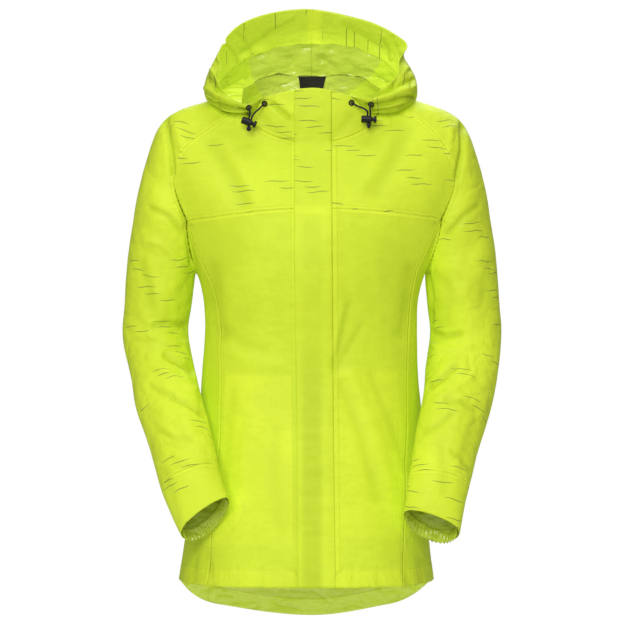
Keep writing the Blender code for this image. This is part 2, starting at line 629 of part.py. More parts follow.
def hood_half(side, panels, back):
    """Rows of one half of the hood from the rim to the neck."""
    tops = [panels["front_yoke_" + side], panels["sleeve_front_" + side], panels["sleeve_back_" + side]]
    foot, lift = [], []
    for (grid, normals, _), start in zip(tops, (COLLAR_JOIN, 1, 1)):
        foot.append(grid[0, start:])
        lift.append(normals[0, start:])
    order = slice(None) if side == "right" else slice(None, None, -1)
    foot.append(back[0][0, order][1 : BACK_COLUMNS + 1])
    lift.append(back[1][0, order][1 : BACK_COLUMNS + 1])
    foot = np.concatenate(foot)
    foot[1:] += np.concatenate(lift)[1:] * (PLY_GAP + SEAM)
    along = lengths(foot)
    along *= HOOD_LINES[-1][0] / along[-1]
    lines = smooth(*split(HOOD_LINES), along).reshape(len(along), -1, 3)
    lines[..., 0] *= smooth(*split(HOOD_SPREAD[side]), along)
    rim = smooth(*split(HOOD_RIM[side]), along)
    facing_width = smooth(*split(FACING_WIDTH), along)[:, 0]
    shares = np.array(HOOD_SHARES)
    columns = []
    for column, width in enumerate(facing_width):
        control = [mirrored(rim[column], side), *mirrored(lines[column], side), foot[column]]
        line = through(control) if column else even(np.array([control[0], control[-1]]), ARC_STEPS)
        total = lengths(line)[-1]
        width = min(width, 0.8 * total)
        places = np.concatenate((np.linspace(0, width, FACING_ROWS + 1), total - (total - width) * shares))
        columns.append(at_lengths(line, places))
    return np.stack(columns, axis=1)


def hood_panels(panels, back):
    """Both halves of the hood, joined on a seam over its middle."""
    right, left = [hood_half(side, panels, back) for side in SIDES]
    middle = (right[:, -1] + left[:, -1]) / 2
    right[:, -1] = middle
    left[:, -1] = middle
    whole = np.concatenate((right, left[:, ::-1][:, 1:]), axis=1)
    normals = surface_normals(whole)
    columns = right.shape[1]
    # Each half counts its columns from the collar, like the pieces that it is sewn to.
    made = {"hood_right": (right, normals[:, :columns].copy(), "open")}
    made["hood_left"] = (left, normals[:, columns - 1 :][:, ::-1].copy(), "open")
    for side in SIDES:
        follow_collar(made["hood_" + side], panels["collar_" + side])
    return made


def zip_and_flap(panels):
    """The zip between the front edges, and the storm flap that lies over them."""
    edge = {}
    for side in SIDES:
        parts = [panels[name + side][0][:, :2] for name in ("collar_", "front_yoke_", "front_lower_")]
        edge[side] = np.concatenate((parts[0], parts[1][1:], parts[2][1:]))
    right, left = edge["right"], edge["left"]
    strip = np.stack((right[:, 0], left[:, 0]), axis=1)
    flap = np.stack((right[:, 1], right[:, 0], left[:, 0], left[:, 1]), axis=1)
    return strip, flap


def lay_flap(flap):
    normals = -surface_normals(flap)
    rise = PLY_GAP + CLOTH + FLAP_RISE * np.array([1, 0.6, 0.25, 0])
    cloth("storm_flap", flap + normals * rise[None, :, None], normals)


def part_of(panel, rows, columns):
    grid, normals, _ = panel
    return grid[rows, columns], normals[rows, columns]


def lay_pocket_bags(panels):
    for side in SIDES:
        rows = slice(POCKET_ROWS[0], POCKET_ROWS[1] + 1)
        columns = slice(POCKET_COLUMNS[0], POCKET_COLUMNS[1] + 1)
        grid, normals = part_of(panels["front_lower_" + side], rows, columns)
        cloth("pocket_bag_" + side, grid, normals, "lining", POCKET_CLOTH, -CLOTH - PLY_GAP)


def lay_facings(panels):
    for side in SIDES:
        grid, normals = part_of(panels["hood_" + side], slice(0, FACING_ROWS + 1), slice(FACING_START, None))
        cloth("hood_facing_" + side, grid, normals, "shell", FACING, -CLOTH - PLY_GAP)


def gather_elastic(side, panels):
    """The elastic inside the back of a cuff, with its cloth gathered round it."""
    cuff, normals, _ = panels["cuff_" + side]
    half = slice(SLEEVE_COLUMNS, 2 * SLEEVE_COLUMNS + 1)
    rim, above = cuff[-1, half], cuff[-2, half]
    count = 4 * GATHERS
    places = np.linspace(0.02, 0.98, count + 1) * SLEEVE_COLUMNS
    stations = np.arange(SLEEVE_COLUMNS + 1)
    rim_points = smooth(stations, rim, places)
    down = unit(rim_points - smooth(stations, above, places))
    normal = unit(smooth(stations, normals[-1, half], places))
    wave = np.cos(np.arange(count + 1) * math.pi / 2)[:, None]
    clear = CLOTH + PLY_GAP + 2 * GATHER_DEPTH
    low = rim_points + down * (ELASTIC_DROP + GATHER_DEPTH * wave) - normal * (clear - GATHER_DEPTH * wave)
    high = rim_points - down * ELASTIC_WIDTH - normal * clear
    grid = np.stack((high, low))
    cloth("cuff_elastic_" + side, grid, np.stack((normal, normal)), "shell", ELASTIC_WALL)


def lay_label(back):
    """The neck label on the inside of the back, below the neck seam, and the loop beside it."""
    grid, normals, _ = back
    near = slice(BACK_COLUMNS - 2, BACK_COLUMNS + 3)
    x = np.linspace(-LABEL_TOP, LABEL_TOP, 5)
    rows = []
    for row in (0, 1):
        crossing = grid[row, near, 0]
        points = [np.interp(x, crossing, grid[row, near, k]) for k in range(3)]
        directions = [np.interp(x, crossing, normals[row, near, k]) for k in range(3)]
        rows.append((np.column_stack(points), unit(np.column_stack(directions))))
    (top, top_normal), (low, low_normal) = rows
    shares = np.linspace(0.06, 0.9, LABEL_ROWS + 1)[:, None, None]
    points = top + (low - top) * shares
    points[..., 0] *= 1 + (LABEL_BOTTOM / LABEL_TOP - 1) * shares[:, 0]
    label_normals = unit(top_normal + (low_normal - top_normal) * shares)
    lift = -CLOTH - 2 * PLY_GAP
    cloth("neck_label", points, label_normals, "trim", LABEL_WALL, lift)
    seat = points - label_normals * (LABEL_WALL - lift + PLY_GAP + LOOP_RADIUS)
    route = [seat[0, 0] + (2, 0, -1), seat[1, 0] + (1, -1, 0), seat[2, 0] + (1, -3, -2)]
    route += [seat[2, 0] + (5, -3, -5), seat[2, 1] + (-1, -3, -2), seat[1, 1] + (-1, -1, 0)]
    route += [seat[0, 1] + (-1, 0, -1)]
    tube("hanger_loop", route, LOOP_RADIUS, "trim")


def tube(name, points, radius, kind):
    """A round cord along a smooth line through the points."""
    line = through(points)
    line = even(line, max(4, round(lengths(line)[-1] / (3 * radius))))
    curve = bpy.data.curves.new(name, "CURVE")
    curve.dimensions = "3D"
    curve.bevel_depth = radius * MM
    curve.bevel_resolution = 2
    curve.use_fill_caps = True
    spline = curve.splines.new("POLY")
    spline.points.add(len(line) - 1)
    for point, place in zip(spline.points, line):
        point.co = (*(place * MM), 1)
    return add_part(name, curve, kind)


def turned(name, profile, steps=16):
    """A profile of radius and height turned about Z."""
    bm = bmesh.new()
    verts = [bm.verts.new((radius * MM, 0, height * MM)) for radius, height in profile]
    edges = [bm.edges.new(pair) for pair in zip(verts[:-1], verts[1:])]
    bmesh.ops.spin(
        bm, geom=verts + edges, axis=(0, 0, 1), cent=(0, 0, 0), angle=2 * math.pi, steps=steps,
        use_merge=True,
    )
    bmesh.ops.remove_doubles(bm, verts=bm.verts, dist=MM / 1000)
    return add_part(name, finished(bm, name, 40), "trim")


def finer(grid):
    """The grid with ten steps between its lines."""
    rows = smooth(np.arange(len(grid)), grid.reshape(len(grid), -1), np.arange(0, len(grid) - 0.9, 0.1))
    rows = rows.reshape(len(rows), -1, 3).transpose(1, 0, 2)
    count = len(rows)
    columns = smooth(np.arange(count), rows.reshape(count, -1), np.arange(0, count - 0.9, 0.1))
    return columns.reshape(len(columns), -1, 3).transpose(1, 0, 2)


def frontmost(patches, x, z):
    """Point and outward normal of the cloth that shows at x and z from the front."""
    best = None
    for grid, normals in patches:
        points, directions = finer(grid), finer(normals)
        away = np.hypot(points[..., 0] - x, points[..., 2] - z) + 0.2 * points[..., 1]
        spot = np.unravel_index(np.argmin(away), away.shape)
        if best is None or away[spot] < best[0]:
            best = (away[spot], points[spot], unit(directions[spot]))
    return best[1], best[2]


def turn_to(direction):
    """Rotation that turns +Z to a direction."""
    return Vector((0, 0, 1)).rotation_difference(Vector(direction)).to_matrix().to_4x4()


def fit_lock(side, middle, tilt):
    """The barrel and, sprung out of its bore, the plunger."""
    top = BARREL_LENGTH / 2
    base = -top
    floor = top - BORE_DEPTH
    barrel = turned(
        "lock_barrel_" + side,
        (
            (0, floor), (BORE_RADIUS, floor), (BORE_RADIUS, top), (BARREL_RADIUS - CHAMFER, top),
            (BARREL_RADIUS, top - CHAMFER), (BARREL_RADIUS, base + CHAMFER),
            (BARREL_RADIUS - CHAMFER, base), (0, base),
        ),
    )
    stem = BORE_RADIUS - PLUNGER_CLEARANCE
    head_from = top + PLUNGER_TRAVEL + 2 * PLUNGER_CLEARANCE
    head_to = head_from + HEAD_THICKNESS
    stem_from = floor + PLUNGER_TRAVEL + 3 * PLUNGER_CLEARANCE
    plunger = turned(
        "lock_plunger_" + side,
        (
            (0, head_to), (PLUNGER_HEAD - CHAMFER, head_to), (PLUNGER_HEAD, head_to - CHAMFER),
            (PLUNGER_HEAD, head_from), (stem, head_from), (stem, stem_from), (0, stem_from),
        ),
    )
    axis = np.array([math.cos(tilt), 0, -math.sin(tilt)])
    centre = middle - (PLUNGER_TRAVEL + HEAD_THICKNESS) / 2 * axis
    place = Matrix.Translation(Vector(centre * MM)) @ turn_to(axis)
    barrel.matrix_world = place
    plunger.matrix_world = place


def fit_eyelet(name, seat, normal):
    bpy.ops.mesh.primitive_torus_add(
        major_radius=EYELET_RING * MM, minor_radius=EYELET_TUBE * MM, major_segments=16, minor_segments=6
    )
    ring = bpy.context.object
    ring.name = name
    ring.matrix_world = Matrix.Translation(Vector(seat * MM)) @ turn_to(normal)
    ring.data.materials.append(material("trim").copy())
    ring.data.shade_smooth()
    for collection in ring.users_collection:
        collection.objects.unlink(ring)
    jacket.objects.link(ring)


def fit_knot(side, middle, tilt):
    """What stops the cord below the lock: a ball on the right, a cone on the left."""
    under = BARREL_RADIUS / math.cos(tilt) + PLY_GAP + KNOT_RADIUS
    bm = bmesh.new()
    if side == "right":
        bmesh.ops.create_uvsphere(bm, u_segments=12, v_segments=8, radius=KNOT_RADIUS * MM)
    else:
        bmesh.ops.create_cone(
            bm, cap_ends=True, segments=12, radius1=0.55 * KNOT_RADIUS * MM,
            radius2=1.1 * KNOT_RADIUS * MM, depth=2 * KNOT_RADIUS * MM,
        )
    name = "cord_knot_" + side
    knot = add_part(name, finished(bm, name, 40), "elastic")
    knot.location = Vector((middle - (0, 0, under)) * MM)


def fit_hardware(side, patches):
    """Eyelets, cord ends, lock with its plunger, and knot of one side."""
    middle = mirrored(np.array(LOCK[side], float), side)
    tilt = LOCK_TILT[side]
    fit_lock(side, middle, tilt)
    across = np.array([math.cos(tilt), 0, -math.sin(tilt)])
    upwards = np.array([math.sin(tilt), 0, math.cos(tilt)])
    for index, (name, (x, z)) in enumerate(zip(("outer_", "inner_"), EYELETS[side])):
        spot, normal = frontmost(patches, x * SIDES[side], z)
        fit_eyelet("eyelet_" + name + side, spot + normal * (EYELET_TUBE + PLY_GAP), normal)
        outwards = (1, -1)[index] * SIDES[side]
        entry = middle + across * outwards * CORD_SPACING + upwards * (BARREL_RADIUS + PLY_GAP)
        above = entry + upwards * 4
        root = spot + normal * PLY_GAP
        clear = root + normal * 3
        bow = root + normal * 6
        route = (root, clear, bow + (above - bow) * 0.3, above, entry)
        tube("cord_" + name + side, route, CORD_RADIUS, "elastic")
    fit_knot(side, middle, tilt)


for leftover in list(bpy.data.objects):
    bpy.data.objects.remove(leftover, do_unlink=True)
jacket = bpy.data.collections.new("rain_jacket")
bpy.context.scene.collection.children.link(jacket)

all_panels = {}
half_backs = []
for side in SIDES:
    made, half_back = side_panels(side)
    all_panels.update(made)
    half_backs.append(half_back)
back_grid = np.concatenate((half_backs[0], half_backs[1][:, ::-1][:, 1:]), axis=1)
all_panels["back_panel"] = (back_grid, surface_normals(back_grid), "open")
all_panels.update(hood_panels(all_panels, all_panels["back_panel"]))
zip_strip, flap_grid = zip_and_flap(all_panels)
all_panels["front_zip"] = (zip_strip, -surface_normals(zip_strip), "open")
agree_at_seams(all_panels)

for name, (grid, normals, sort) in all_panels.items():
    cloth(name, grid, normals, "tape" if name == "front_zip" else "shell", closed=sort == "closed")
lay_flap(flap_grid)
lay_pocket_bags(all_panels)
lay_facings(all_panels)
lay_label(all_panels["back_panel"])
for side in SIDES:
    gather_elastic(side, all_panels)
    hood_corner = part_of(all_panels["hood_" + side], slice(None), slice(0, 5))
    fit_hardware(side, (all_panels["collar_" + side][:2], hood_corner))
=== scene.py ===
import math
from functools import partial

import bmesh
import bpy
import numpy as np
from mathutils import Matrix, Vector
from mathutils.kdtree import KDTree


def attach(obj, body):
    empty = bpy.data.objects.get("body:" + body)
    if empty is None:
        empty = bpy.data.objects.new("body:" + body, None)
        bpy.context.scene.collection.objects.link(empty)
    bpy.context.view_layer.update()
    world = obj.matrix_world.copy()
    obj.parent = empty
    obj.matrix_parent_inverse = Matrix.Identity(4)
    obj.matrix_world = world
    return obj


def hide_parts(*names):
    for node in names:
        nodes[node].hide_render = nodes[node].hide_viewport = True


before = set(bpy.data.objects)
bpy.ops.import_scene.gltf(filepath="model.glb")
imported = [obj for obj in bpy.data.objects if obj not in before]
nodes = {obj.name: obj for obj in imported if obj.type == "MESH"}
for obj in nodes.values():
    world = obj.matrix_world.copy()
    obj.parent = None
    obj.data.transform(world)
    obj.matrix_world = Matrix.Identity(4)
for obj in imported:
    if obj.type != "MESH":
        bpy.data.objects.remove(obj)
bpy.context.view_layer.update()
print("frame loaded:", len(nodes), "nodes")

# The camera stands level in front. Folds are placed in photo points, so this also turns a place into them.
camera = {
    "distance": 4.2, "x": 0.0007, "height": -0.301, "lens": 170.4,
    "point": 0.00142,  # metres that a photo point covers at the middle of the jacket
    "middle": (312, 312.5),
}


def addObject(name, data):
    made = bpy.data.objects.new(name, data)
    bpy.context.scene.collection.objects.link(made)
    return made


def readNumbers(owner, name, width=1, kind=float):  # one row for each item of a mesh
    values = np.zeros(len(owner) * width, kind)
    owner.foreach_get(name, values)
    return values if width == 1 else values.reshape(-1, width)


def editWhole(obj, operation, **options):
    bpy.context.view_layer.objects.active = obj
    obj.select_set(True)
    bpy.ops.object.mode_set(mode="EDIT")
    bpy.ops.mesh.select_all(action="SELECT")
    operation(**options)
    bpy.ops.object.mode_set(mode="OBJECT")


def setCamera():
    cam = addObject("camera", bpy.data.cameras.new("camera"))
    cam.location = (camera["x"], -camera["distance"], camera["height"])
    cam.rotation_euler = (math.radians(90), 0, 0)
    cam.data.lens = camera["lens"]
    cam.data.sensor_width = 36
    bpy.context.scene.camera = cam


def photoPlace(points):
    scale = camera["point"] * (1 + points[:, 1] / camera["distance"])
    across = camera["middle"][0] + points[:, 0] / scale
    down = camera["middle"][1] - (points[:, 2] - camera["height"]) / scale
    return np.stack((across, down), axis=1)


setCamera()


class Wire:  # a socket of a shader, so that masks can be written as sums
    def __init__(self, shader, socket):
        self.shader = shader
        self.socket = socket

    def maths(self, operation, *others):
        values = dict(enumerate((self, *others)))
        return self.shader.node("ShaderNodeMath", {"operation": operation}, values)

    def __add__(self, other):
        return self.maths("ADD", other)

    def __sub__(self, other):
        return self.maths("SUBTRACT", other)

    def __mul__(self, other):
        return self.maths("MULTIPLY", other)

    def __truediv__(self, other):
        return self.maths("DIVIDE", other)

    def __rsub__(self, other):
        return self.shader.node("ShaderNodeMath", {"operation": "SUBTRACT"}, {0: other, 1: self})

    def __abs__(self):
        return self.maths("ABSOLUTE")

    __radd__ = __add__
    __rmul__ = __mul__


class Shader:
    def __init__(self, name, **fixed):
        self.material = bpy.data.materials.new(name)
        self.material.use_nodes = True
        self.tree = self.material.node_tree
        self.base = self.tree.nodes["Principled BSDF"]
        for socket, value in fixed.items():
            self.base.inputs[socket.replace("_", " ")].default_value = value

    def node(self, kind, settings=None, inputs=None, output=0):
        made = self.tree.nodes.new(kind)
        for name, value in (settings or {}).items():
            setattr(made, name, value)
        for socket, value in (inputs or {}).items():
            self.feed(made.inputs[socket], value)
        return Wire(self, made.outputs[output])

    def feed(self, socket, value):
        if isinstance(value, Wire):
            self.tree.links.new(value.socket, socket)
        elif isinstance(value, tuple) and len(value) == 3 and socket.type == "RGBA":
            socket.default_value = (*value, 1)
        else:
            socket.default_value = value

    def attribute(self, name):
        return self.node("ShaderNodeAttribute", {"attribute_name": name}, output="Fac")

    def attributes(self, *names):
        return [self.attribute(name) for name in names]

    def split(self, vector):
        parts = self.tree.nodes.new("ShaderNodeSeparateXYZ")
        self.tree.links.new(vector.socket, parts.inputs[0])
        return [Wire(self, socket) for socket in parts.outputs]

    def joined(self, x, y, z=0.0):
        return self.node("ShaderNodeCombineXYZ", {}, {0: x, 1: y, 2: z})

    def chances(self, place):  # three numbers by chance, the same ones wherever the place is the same
        settings = {"noise_dimensions": "3D"}
        return self.split(self.node("ShaderNodeTexWhiteNoise", settings, {"Vector": place}, output="Color"))

    def uv(self):
        return self.node("ShaderNodeUVMap", {"uv_map": "cut"})

    def spot(self):
        return self.node("ShaderNodeTexCoord", output="Object")

    def noise(self, vector, scale, detail=2.0, rough=0.5):
        inputs = {"Vector": vector, "Scale": scale, "Detail": detail, "Roughness": rough}
        return self.node("ShaderNodeTexNoise", {}, inputs)

    def stretched(self, vector, scale, turn=(0, 0, 0)):
        return self.node("ShaderNodeMapping", {}, {"Vector": vector, "Scale": scale, "Rotation": turn})

    def step(self, value, start, end):  # 0 before start, 1 after end, smooth between
        settings = {"interpolation_type": "SMOOTHSTEP", "clamp": True}
        return self.node("ShaderNodeMapRange", settings, {0: value, 1: start, 2: end, 3: 0.0, 4: 1.0})

    def mix(self, share, first, second):
        # a colour's inputs come after the plain and the vector ones
        return self.node("ShaderNodeMix", {"data_type": "RGBA"}, {0: share, 6: first, 7: second}, output=2)

    def use(self, socket, value):
        self.feed(self.base.inputs[socket], value)

    def finished(self, colour, rough, height, strength):  # height in metres
        self.use("Base Color", colour)
        self.use("Roughness", rough)
        relief = {"Height": height, "Strength": strength, "Distance": 1.0}
        self.use("Normal", self.node("ShaderNodeBump", {}, relief))
        return self.material


neon = {
    "single": (0.645, 0.805, 0.036),  # one layer, with the dark hollow behind it
    "double": (0.725, 0.870, 0.040),  # two layers: seams, hems, pocket bags
    "facing": (0.70, 0.82, 0.070),  # the hood's facing, painted lighter for the light that reaches it from behind through the layer under it
    "taped": (0.84, 0.93, 0.075),
    # the darker olive: painted shade, and also cloudiness, seam lines and stitches
    "shade": (0.30, 0.41, 0.006),
    "dash": (0.17, 0.23, 0.045),
    "glow": 0.09,  # painted glow: the cloth gives off light, standing in for light that comes through the thin cloth
    # painted glow on the hood's facing, stronger than on the rest
    "facingGlow": 0.35,
    "roughness": 0.58,
    "weave": 2600.0,  # radians a metre, which is a ripstop grid of 2.4 mm
}
# Across a seam or an open edge, in metres from it: where each thing ends and where it is whole.
sewing = {
    "allowance": (0.0065, 0.0030),
    "edgeBand": (0.0250, 0.0238),
    "seamLine": (0.0012, 0.0003),
    "seamStitches": (0.0052, 0.0006, 0.0002),  # from the seam, then half the row's width
    "edgeStitches": (0.0236, 0.0008, 0.0002),
    "stitches": 360.0,  # a metre
    "stitchEnds": (0.46, 0.36),
    "seamPuckers": (0.015, 0.002),
    "edgePuckers": (0.034, 0.010),
    "seamGroove": (0.0020, 0.0002),
    "edgeFold": (0.0245, 0.0230),
    "tape": (0.0100, 0.0090),
    "insideHem": (0.0245, 0.0235),
    "insideStitches": (0.0236, 0.0010, 0.0003),
}
relief = {  # heights in metres
    "creases": 0.0016, "crumple": 0.020, "seamPuckers": 0.0011, "edgePuckers": 0.0020, "weave": 0.00003,
    "seamGroove": 0.00014, "stitches": 0.0002, "edgeFold": 0.0004,
    "wrinkles": 0.0030, "sharpWrinkles": 0.036, "tape": 0.0001, "grain": 0.00012, "braid": 0.00012,
    "ribs": 0.00008, "labelFold": 0.0002,
}
dashPrint = {
    "cell": (0.064, 0.046),  # metres across and down for one group of dashes
    "rowShift": 0.37,  # of a cell, from each row to the next
    "group": ((0.0, 0.0), (0.016, -0.0085), (-0.011, 0.0095)),  # its dashes, from its middle
    "groupStray": 0.014,
    "dashStray": (0.012, 0.003),
    "length": 0.036,
    "width": 0.00115,
    "waves": (260.0, 0.00045),  # radians a metre, and height
    "slant": 0.20,
    "upright": (0.6, 0.3, 0.023),  # on the hood: the share of the depth that counts as height, and two shifts
}


def dashes(shader, uv, share):
    # Groups of thin wavy dashes across the cloth, in a share of the cells of a brick layout.
    cellWide, cellHigh = dashPrint["cell"]
    strayU, strayV = dashPrint["dashStray"]
    waves, waveHeight = dashPrint["waves"]
    width = dashPrint["width"]
    u, v, _ = shader.split(uv)
    row = (v / cellHigh).maths("FLOOR")
    across = u / cellWide + row * dashPrint["rowShift"]
    column = across.maths("FLOOR")
    inU = (across - column) * cellWide
    inV = (v / cellHigh - row) * cellHigh
    shown = None
    for number, (aside, above) in enumerate(dashPrint["group"]):
        groupX, groupY, chance = shader.chances(shader.joined(column, row))
        ownX, ownY, ownChance = shader.chances(shader.joined(column, row, 3.0 + number))
        middleU = cellWide * 0.5 + (groupX - 0.5) * dashPrint["groupStray"] + aside + (ownX - 0.5) * strayU
        middleV = cellHigh * 0.5 + (groupY - 0.5) * dashPrint["groupStray"] + above + (ownY - 0.5) * strayV
        alongU = inU - middleU
        half = (0.30 + ownChance * 0.22) * dashPrint["length"]
        end = shader.step(abs(alongU) / half, 1.0, 0.86)
        wave = (alongU * waves + ownX * 6.0).maths("SINE") * waveHeight
        wave = wave + alongU * (ownY - 0.5) * dashPrint["slant"]
        taper = 0.35 + 0.65 * shader.step(abs(alongU) / half, 1.0, 0.3)
        off = abs(inV - middleV - wave)
        line = shader.step(off / taper, width * 0.75, width * 0.35)
        there = chance.maths("LESS_THAN", share) * ownChance.maths("GREATER_THAN", 0.05 + 0.12 * number)
        dash = line * end * there
        shown = dash if shown is None else shown.maths("MAXIMUM", dash)
    return shown


def rowOf(shader, away, row, threads):  # one row of top stitching
    place, start, end = sewing[row]
    return shader.step(abs(away - place), start, end) * threads


def shellCloth(name, printed, facing=False):
    # The coated outside: brighter where it lies double, olive along its seams, with painted shade in its
    # folds and a painted glow all over.
    glow = neon["facingGlow"] if facing else neon["glow"]
    shader = Shader(name, Roughness=neon["roughness"], Specular_IOR_Level=0.20, Emission_Strength=glow)
    uv, spot = shader.uv(), shader.spot()
    if printed == "upright":  # on the hood the dashes stand up
        x, y, z = shader.split(spot)
        lean, shiftU, shiftV = dashPrint["upright"]
        uv = shader.joined(z + y * lean + shiftU, x + shiftV)
    tone, dark, crumpled = shader.attributes("tone", "dark", "crumple")
    seam, run, edge, edgeRun = shader.attributes("seamAway", "seamRun", "edgeAway", "edgeRun")
    cloudy = shader.noise(spot, 9.0, 3.0, 0.6)
    fine = shader.noise(shader.stretched(spot, (1, 1, 2.5)), 55.0, 3.0, 0.6)
    # seam allowance behind the cloth, and its puckers
    allowance = shader.step(seam, *sewing["allowance"]) * 0.85
    edgeBand = shader.step(edge, *sewing["edgeBand"]) * 0.60
    double = (tone.maths("MAXIMUM", allowance)).maths("MAXIMUM", edgeBand)
    if facing:
        colour = shader.mix(tone, neon["facing"], neon["taped"])
    else:
        colour = shader.mix(double, neon["single"], neon["double"])
    uneven = shader.step(cloudy + (fine - 0.5) * 0.35, 0.36, 0.66)
    line = shader.step(seam, *sewing["seamLine"]) * shader.step(fine, 0.35, 0.65)
    # top stitching: one row beside the seam, one along an open edge
    seamThreads = shader.step(abs((run * sewing["stitches"]).maths("FRACT") - 0.5), *sewing["stitchEnds"])
    edgeThreads = shader.step(abs((edgeRun * sewing["stitches"]).maths("FRACT") - 0.5), *sewing["stitchEnds"])
    seamRow = rowOf(shader, seam, "seamStitches", seamThreads)
    stitches = seamRow.maths("MAXIMUM", rowOf(shader, edge, "edgeStitches", edgeThreads))
    # mixes towards the olive: random cloudiness, the painted shade held in dark, the seam line and the
    # stitches
    for share in ((1 - uneven) * 0.16, dark, line * 0.10, stitches * 0.14):
        colour = shader.mix(share, colour, neon["shade"])
    if printed:
        dashed = dashes(shader, uv, shader.attribute("printShare"))
        colour = shader.mix(dashed * 0.80, colour, neon["dash"])
    # painted glow: the cloth gives off light in its own colour
    shader.use("Emission Color", colour)
    seamPuckers = shader.noise(shader.joined(run, seam * 0.35), 210.0)
    edgePuckers = shader.noise(shader.joined(edgeRun, edge * 0.3, 5.0), 170.0)
    threads = shader.node("ShaderNodeVectorMath", {"operation": "SCALE"}, {0: uv, "Scale": neon["weave"]})
    threadsU, threadsV, _ = shader.split(threads)
    weave = threadsU.maths("SINE") * threadsV.maths("SINE")
    creases = shader.noise(shader.stretched(spot, (1.6, 1.2, 0.7), (0.3, 0.5, 0.2)), 34.0, 4.0, 0.62)
    crumple = shader.noise(shader.stretched(spot, (1.0, 1.0, 1.3), (0.5, 0.3, 0.6)), 17.0, 2.5)
    height = (
        creases * relief["creases"]
        + abs(crumple - 0.5) * crumpled * relief["crumple"]
        + seamPuckers * shader.step(seam, *sewing["seamPuckers"]) * relief["seamPuckers"]
        + edgePuckers * shader.step(edge, *sewing["edgePuckers"]) * relief["edgePuckers"]
        + weave * relief["weave"]
        - shader.step(seam, *sewing["seamGroove"]) * relief["seamGroove"]
        - stitches * relief["stitches"]
        + shader.step(edge, *sewing["edgeFold"]) * relief["edgeFold"]
    )
    return shader.finished(colour, neon["roughness"] + (fine - 0.5) * 0.18 - double * 0.04, height, 0.8)


inside = {
    "coat": (0.53, 0.63, 0.085),
    "shade": (0.43, 0.51, 0.055),
    "tape": (0.62, 0.74, 0.09),
    "lining": (0.56, 0.70, 0.045),
    "hem": (0.60, 0.73, 0.065),
    "roughness": 0.30,
    # painted glow: the inside gives off light, standing in for light that comes through the cloth
    "glow": 0.29,
}


def coatedInside(name):
    # The pale coating on the inside, with small soft wrinkles and taped seams, a painted glow, and painted
    # shade deep in the sleeves and cuffs.
    rough, glow = inside["roughness"], inside["glow"]
    shader = Shader(name, Roughness=rough, Specular_IOR_Level=0.55, Emission_Strength=glow)
    spot = shader.spot()
    seam, edge, crumpled = shader.attributes("seamAway", "edgeAway", "crumple")
    lining, hollow = shader.attributes("lining", "hollow")
    wrinkles = shader.noise(shader.stretched(spot, (1, 1, 1.7), (0.4, 0.1, 0.7)), 36.0, 4.0)
    sharp = abs(shader.noise(shader.stretched(spot, (0.8, 1.0, 1.6), (0.2, 0.6, 0.3)), 17.0, 2.5) - 0.5)
    soft = shader.noise(spot, 8.0)
    tape = shader.step(seam, *sewing["tape"])
    colour = shader.mix(shader.step(soft, 0.35, 0.7) * 0.5, inside["coat"], inside["shade"])
    colour = shader.mix(tape * 0.35 * (1 - crumpled), colour, inside["tape"])
    hem = shader.step(edge, *sewing["insideHem"])
    colour = shader.mix(hem * 0.7, colour, inside["hem"])
    colour = shader.mix(lining, colour, inside["lining"])
    colour = shader.mix(rowOf(shader, edge, "insideStitches", 0.35), colour, neon["shade"])
    # painted glow in the inside's own colour, taken away deep in the sleeves and cuffs, where painted shade
    # darkens the colour instead
    shader.use("Emission Color", shader.mix(hollow, colour, (0.0, 0.0, 0.0)))
    colour = shader.mix(hollow * 0.6, colour, neon["shade"])
    height = wrinkles * relief["wrinkles"] + sharp * relief["sharpWrinkles"]
    height = height + tape * relief["tape"] + hem * relief["edgeFold"]
    return shader.finished(colour, rough + (wrinkles - 0.5) * 0.25, height, 0.9)


trim = {
    "black": (0.006, 0.006, 0.006), "worn": (0.022, 0.022, 0.023), "label": (0.020, 0.021, 0.019),
    "strands": 5200.0,  # of the cord's sleeve, in radians a metre
    "ribs": 9000.0,  # of the label's weave
}


def blackPlastic(name):
    shader = Shader(name, Roughness=0.42, Specular_IOR_Level=0.28)
    spot = shader.spot()
    grain = shader.noise(spot, 900.0, 3.0, 0.6)
    rubbed = shader.step(shader.noise(spot, 160.0, 3.0, 0.6), 0.52, 0.72)
    colour = shader.mix(rubbed * 0.5, trim["black"], trim["worn"])
    return shader.finished(colour, 0.34 + grain * 0.2, grain * relief["grain"], 0.6)


def elasticCord(name):
    # A braided sleeve: two sets of strands that cross.
    shader = Shader(name, Roughness=0.75, Specular_IOR_Level=0.3, Sheen_Weight=0.15)
    x, y, z = shader.split(shader.spot())
    one = ((x + y + z) * trim["strands"]).maths("SINE")
    other = ((x + y - z) * trim["strands"]).maths("SINE")
    braid = one * other
    colour = shader.mix(shader.step(braid, -0.2, 0.7), trim["black"], trim["worn"])
    return shader.finished(colour, 0.66 + braid * 0.1, braid * relief["braid"], 0.8)


def wovenLabel(name):
    shader = Shader(name, Roughness=0.8, Specular_IOR_Level=0.25, Sheen_Weight=0.2)
    x, _, z = shader.split(shader.spot())
    ribs = (z * trim["ribs"]).maths("SINE") * (x * trim["ribs"]).maths("SINE")
    hem = shader.step(shader.attribute("edgeAway"), 0.0024, 0.0018)
    colour = shader.mix(shader.step(ribs, -0.4, 0.9) * 0.6, trim["label"], trim["worn"])
    colour = shader.mix(hem * 0.25, colour, trim["worn"])
    height = ribs * relief["ribs"] + hem * relief["labelFold"]
    return shader.finished(colour, 0.78 + ribs * 0.06, height, 0.8)


finishes = {
    "printed": shellCloth("printedShell", "level"),
    "hood": shellCloth("hoodShell", "upright"),
    "facing": shellCloth("facingShell", "upright", True),
    "plain": shellCloth("plainShell", ""),
    "inside": coatedInside("coatedInside"),
    "plastic": blackPlastic("blackPlastic"),
    "cord": elasticCord("elasticCord"),
    "label": wovenLabel("wovenLabel"),
}
print("finishes made")

